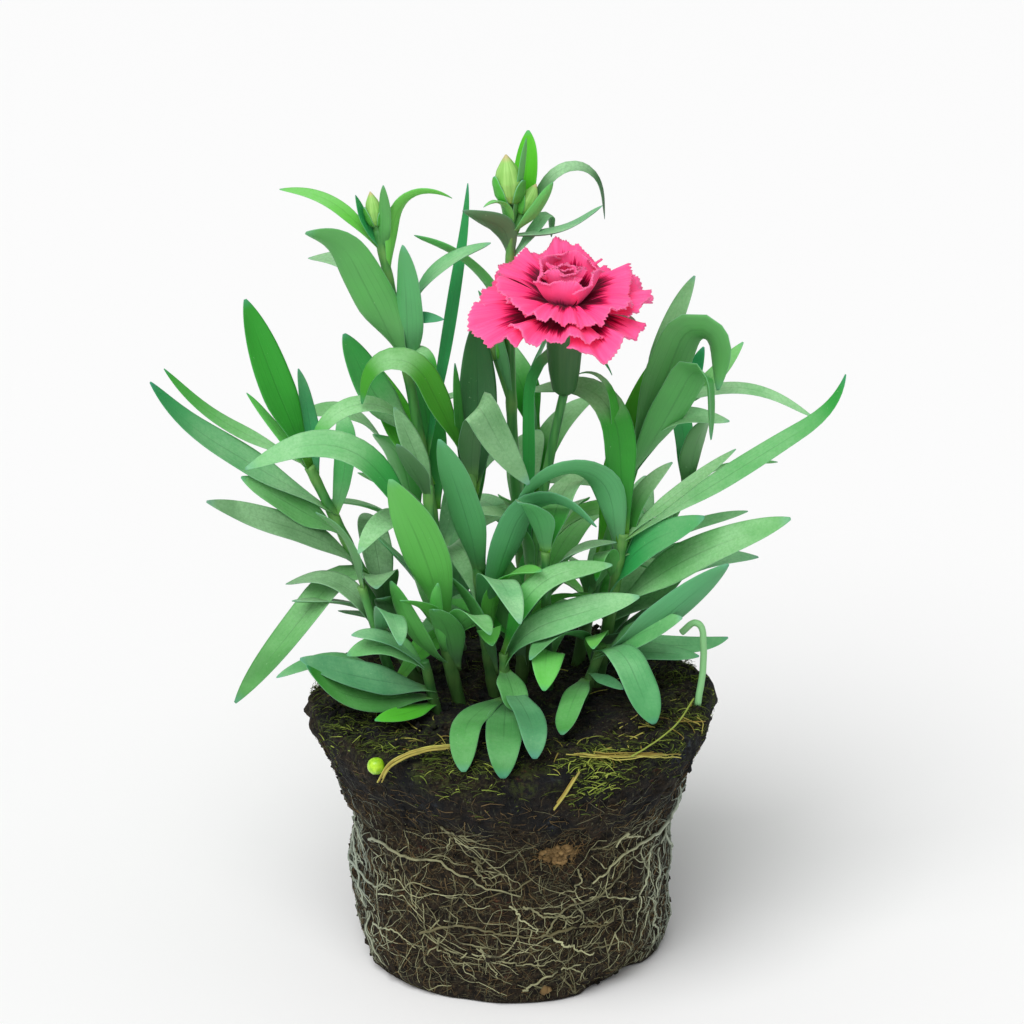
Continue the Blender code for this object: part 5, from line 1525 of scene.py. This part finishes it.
# %% Crumbs
SOIL_CRUMBS = 1000
WALL_CRUMBS = 1300
GOLDEN = (1 + 5 ** 0.5) / 2
LUMP_CORNERS = np.array([(-1, GOLDEN, 0), (1, GOLDEN, 0), (-1, -GOLDEN, 0), (1, -GOLDEN, 0),
                         (0, -1, GOLDEN), (0, 1, GOLDEN), (0, -1, -GOLDEN), (0, 1, -GOLDEN),
                         (GOLDEN, 0, -1), (GOLDEN, 0, 1), (-GOLDEN, 0, -1), (-GOLDEN, 0, 1)]) / 1.9
LUMP_FACES = np.array([(0, 11, 5), (0, 5, 1), (0, 1, 7), (0, 7, 10), (0, 10, 11), (1, 5, 9), (5, 11, 4),
                       (11, 10, 2), (10, 7, 6), (7, 1, 8), (3, 9, 4), (3, 4, 2), (3, 2, 6), (3, 6, 8),
                       (3, 8, 9), (4, 9, 5), (2, 4, 11), (6, 2, 10), (8, 6, 7), (9, 8, 1)])


def crumbs(places, sizes, chance):
    """Lumps: the corners of an icosahedron, each moved a little, then scaled."""
    count = len(places)
    corners = len(LUMP_CORNERS)
    shape = LUMP_CORNERS * chance.uniform(0.7, 1.3, (count, corners, 1))
    shape = shape * chance.uniform(0.6, 1.3, (count, 1, 3)) * sizes[:, None, None]
    points = (places[:, None] + shape).reshape(-1, 3)
    faces = LUMP_FACES + (np.arange(count) * corners)[:, None, None]
    held = laid_out((chance.uniform(0, 1, count)[:, None], 0, 0, 0), (count, corners))
    return Patch(points, [faces.reshape(-1, 3)], np.zeros((len(points), 2)), held.reshape(-1, 4))


top_places = soil_places(SOIL_CRUMBS, 5, 49, soil_chance)
side_turns, side_heights = (soil_chance.uniform(*ends, WALL_CRUMBS) for ends in ((0, 360), (1, 61)))
crumb_places = np.vstack([top_places, on_wall(side_turns, side_heights, -0.1)])
crumb_sizes = soil_chance.uniform(0.3, 1.0, len(crumb_places)) ** 1.6
piece("peat_crumbs", [crumbs(crumb_places, crumb_sizes, soil_chance)], [peat_finish], ())

# %% [markdown]
# A few single things can be picked out in the photograph: a coated grain of fertiliser on the
# front edge, two straws over the rim, a long pale root, a bent green stalk at the right, and
# two pieces of bark.

# %% Grain, straw, stalk and bark
PRILL_RADIUS = 2.1
PRILL_HEADING = 231.6
PRILL_HEIGHT = 64.8
PRILL_GAP = 0.35
PRILL_ROWS = 20
PRILL_COLUMNS = 28
STRAW_PATH = [(-31.5, -43, 61.5), (-28, -43.5, 67.2), (-20, -41, 69.4), (-10, -39.5, 69.4)]
STALK_PATH = [(41, -5, 84), (44, -6, 87), (46, -7, 85), (46.2, -8, 76), (45, -10, 67.1)]
RIGHT_STRAW = [(13, -41, 68.2), (23, -41.5, 67.6), (32.5, -37, 66), (40.5, -28.5, 62)]
SHORT_STICK = [(9.4, -49.0, 57.5), (12, -49.4, 61.5), (15.5, -46.8, 66.4)]
LONG_PALE_ROOT = [(44, -11, 69.3), (39.5, -25, 69), (34, -34, 68.2), (28, -41, 67.4)]
STRAW_STEPS = 48
STRAW_HINT = (0.3, 0.9, 0.2)
BARK_PLACE = (286, 40.5)
BARK_LUMPS = 90
BARK_FIBRES = 150
CHIP_HEADINGS = (282, 283.5)
CHIP_HEIGHT = 3.8


def prill_paint():
    """A glossy yellow-green coat, a little cloudy."""
    mill = Mill("coated_grain")
    cloud = mill.noise(mill.place(), 700.0)
    colour = mill.mix(tone(140, 196, 10), tone(186, 232, 50), cloud.rise(0.35, 0.7))
    return mill.finish(colour, 0.3 + 0.2 * cloud, mill.bump(cloud, 0.2, 0.0003), Coat_Weight=0.3,
                       Subsurface_Weight=0.1, Subsurface_Radius=(0.002, 0.002, 0.0005))


def prill_patch():
    """A ball of rings from pole to pole, a little dented by noise."""
    radii, heights = zip(*BALL_PROFILE)
    turn = math.radians(PRILL_HEADING)
    wall = np.interp(PRILL_HEIGHT, heights, radii) + wall_swells(turn, PRILL_HEIGHT)
    reach = wall + PRILL_RADIUS + PRILL_GAP
    turns = np.arange(PRILL_COLUMNS) * 2 * np.pi / PRILL_COLUMNS
    tilt, around = np.meshgrid(np.linspace(-1.5, 1.5, PRILL_ROWS), turns, indexing="ij")
    ball = toward(around, tilt)
    ball = ball * (PRILL_RADIUS * 0.98 + 0.08 * cloud_noise(ball * 3, 1.0, 5))[..., None]
    ball = ball + (reach * math.cos(turn), reach * math.sin(turn), PRILL_HEIGHT)
    return closed_patch(ball, around / 6.3, tilt / 3 + 0.5, (0.5, 0, 0, 0))


def spline_through(corners, steps):
    """A smooth line: each stretch is a cubic that leaves a corner along its neighbours' chord."""
    corners = np.array(corners, float)
    ends = np.vstack([2 * corners[0] - corners[1], corners, 2 * corners[-1] - corners[-2]])
    t = np.linspace(0, len(corners) - 1 - 1e-6, steps)
    first = t.astype(int)
    part = (t - first)[:, None]
    a, b, c, d = (ends[first + shift] for shift in range(4))
    return 0.5 * (2 * b + (c - a) * part + (2 * a - 5 * b + 4 * c - d) * part ** 2
                  + (3 * b - a - 3 * c + d) * part ** 3)


def strand_patch(corners, radius, steps, chance):
    """One round strand that wanders a little off its line."""
    path = spline_through(corners, steps)
    path = path + cloud_noise(path, 2.5, 8)[:, None] * 0.12
    return many_tubes(path[None], np.full((1, steps), radius), STRAW_HINT, 8, chance)


def straw_patches(corners, count, spread, radius, chance):
    """A split straw: a flat bundle of fibres that start and stop at different places."""
    path = spline_through(corners, STRAW_STEPS)
    made = []
    for _ in range(count):
        first, last = chance.integers(0, 12), chance.integers(34, STRAW_STEPS)
        part = path[first:last] + chance.normal(0, spread, 3) * (1, 1, 0.5)
        part = part + cloud_noise(part + chance.uniform(0, 90), 3.0, 8)[:, None] * 0.25
        radii = np.full((1, len(part)), radius * chance.uniform(0.6, 1.2))
        made.append(many_tubes(part[None], radii, STRAW_HINT, 5, chance))
    return made


def bark_patches(chance):
    """A fuzzy patch of bark, lumps in an ellipse with short fibres over them, and a smooth chip."""
    around, out = chance.uniform(0, 6.28, BARK_LUMPS), np.sqrt(chance.uniform(0, 1, BARK_LUMPS))
    middle, height = BARK_PLACE
    spots = on_wall(middle + 6.5 * out * np.cos(around), height + 2.5 * out * np.sin(around), 0.0)
    lumps = crumbs(spots, chance.uniform(0.4, 0.95, BARK_LUMPS), chance)
    headings, levels = (place + chance.normal(0, spread, BARK_FIBRES)
                        for place, spread in ((middle, 3.2), (height, 1.2)))
    course, length = chance.uniform(0, 6.28, BARK_FIBRES), chance.uniform(1.5, 4, BARK_FIBRES)
    fibres = walk(headings, levels, course, FIBRE_STEPS, length, 0.3, 60, chance) * 1.008
    chip_places = on_wall(np.array(CHIP_HEADINGS), np.full(2, CHIP_HEIGHT), 0.0)
    chip = crumbs(chip_places, np.array([1.7, 1.5]), chance)
    return [lumps, strands(fibres, (0.06, 0.16), 3, chance), chip]


piece("fertiliser_grain", [prill_patch()], [prill_paint()], ["fertiliser_prill"])
straw_bits = [patch for corners, count, spread, radius in (
    (STRAW_PATH, 15, 0.5, 0.22), (RIGHT_STRAW, 12, 0.55, 0.17), (SHORT_STICK, 4, 0.2, 0.3))
    for patch in straw_patches(corners, count, spread, radius, soil_chance)]
piece("straw", straw_bits, [straw_finish], ["straw_bit"])
piece("stalk", [strand_patch(STALK_PATH, 0.85, 50, soil_chance)], [stalk_finish], ["bent_stalk"])
pale_root = strand_patch(LONG_PALE_ROOT, 0.2, 40, soil_chance)
piece("long_pale_root", [pale_root], [bright_moss_finish], ())
piece("bark_chips", bark_patches(soil_chance), [bark_finish], ())

# %% [markdown]
# The visual model has to stay as big as the solids. Both boxes are printed.

# %% Measure and finish
new_box = [[float(value) for value in corner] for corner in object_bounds()]
for label, box in (("cad", cad_box), ("visual", new_box)):
    print(label, "box in mm", np.round(np.array(box) * 1000, 1))
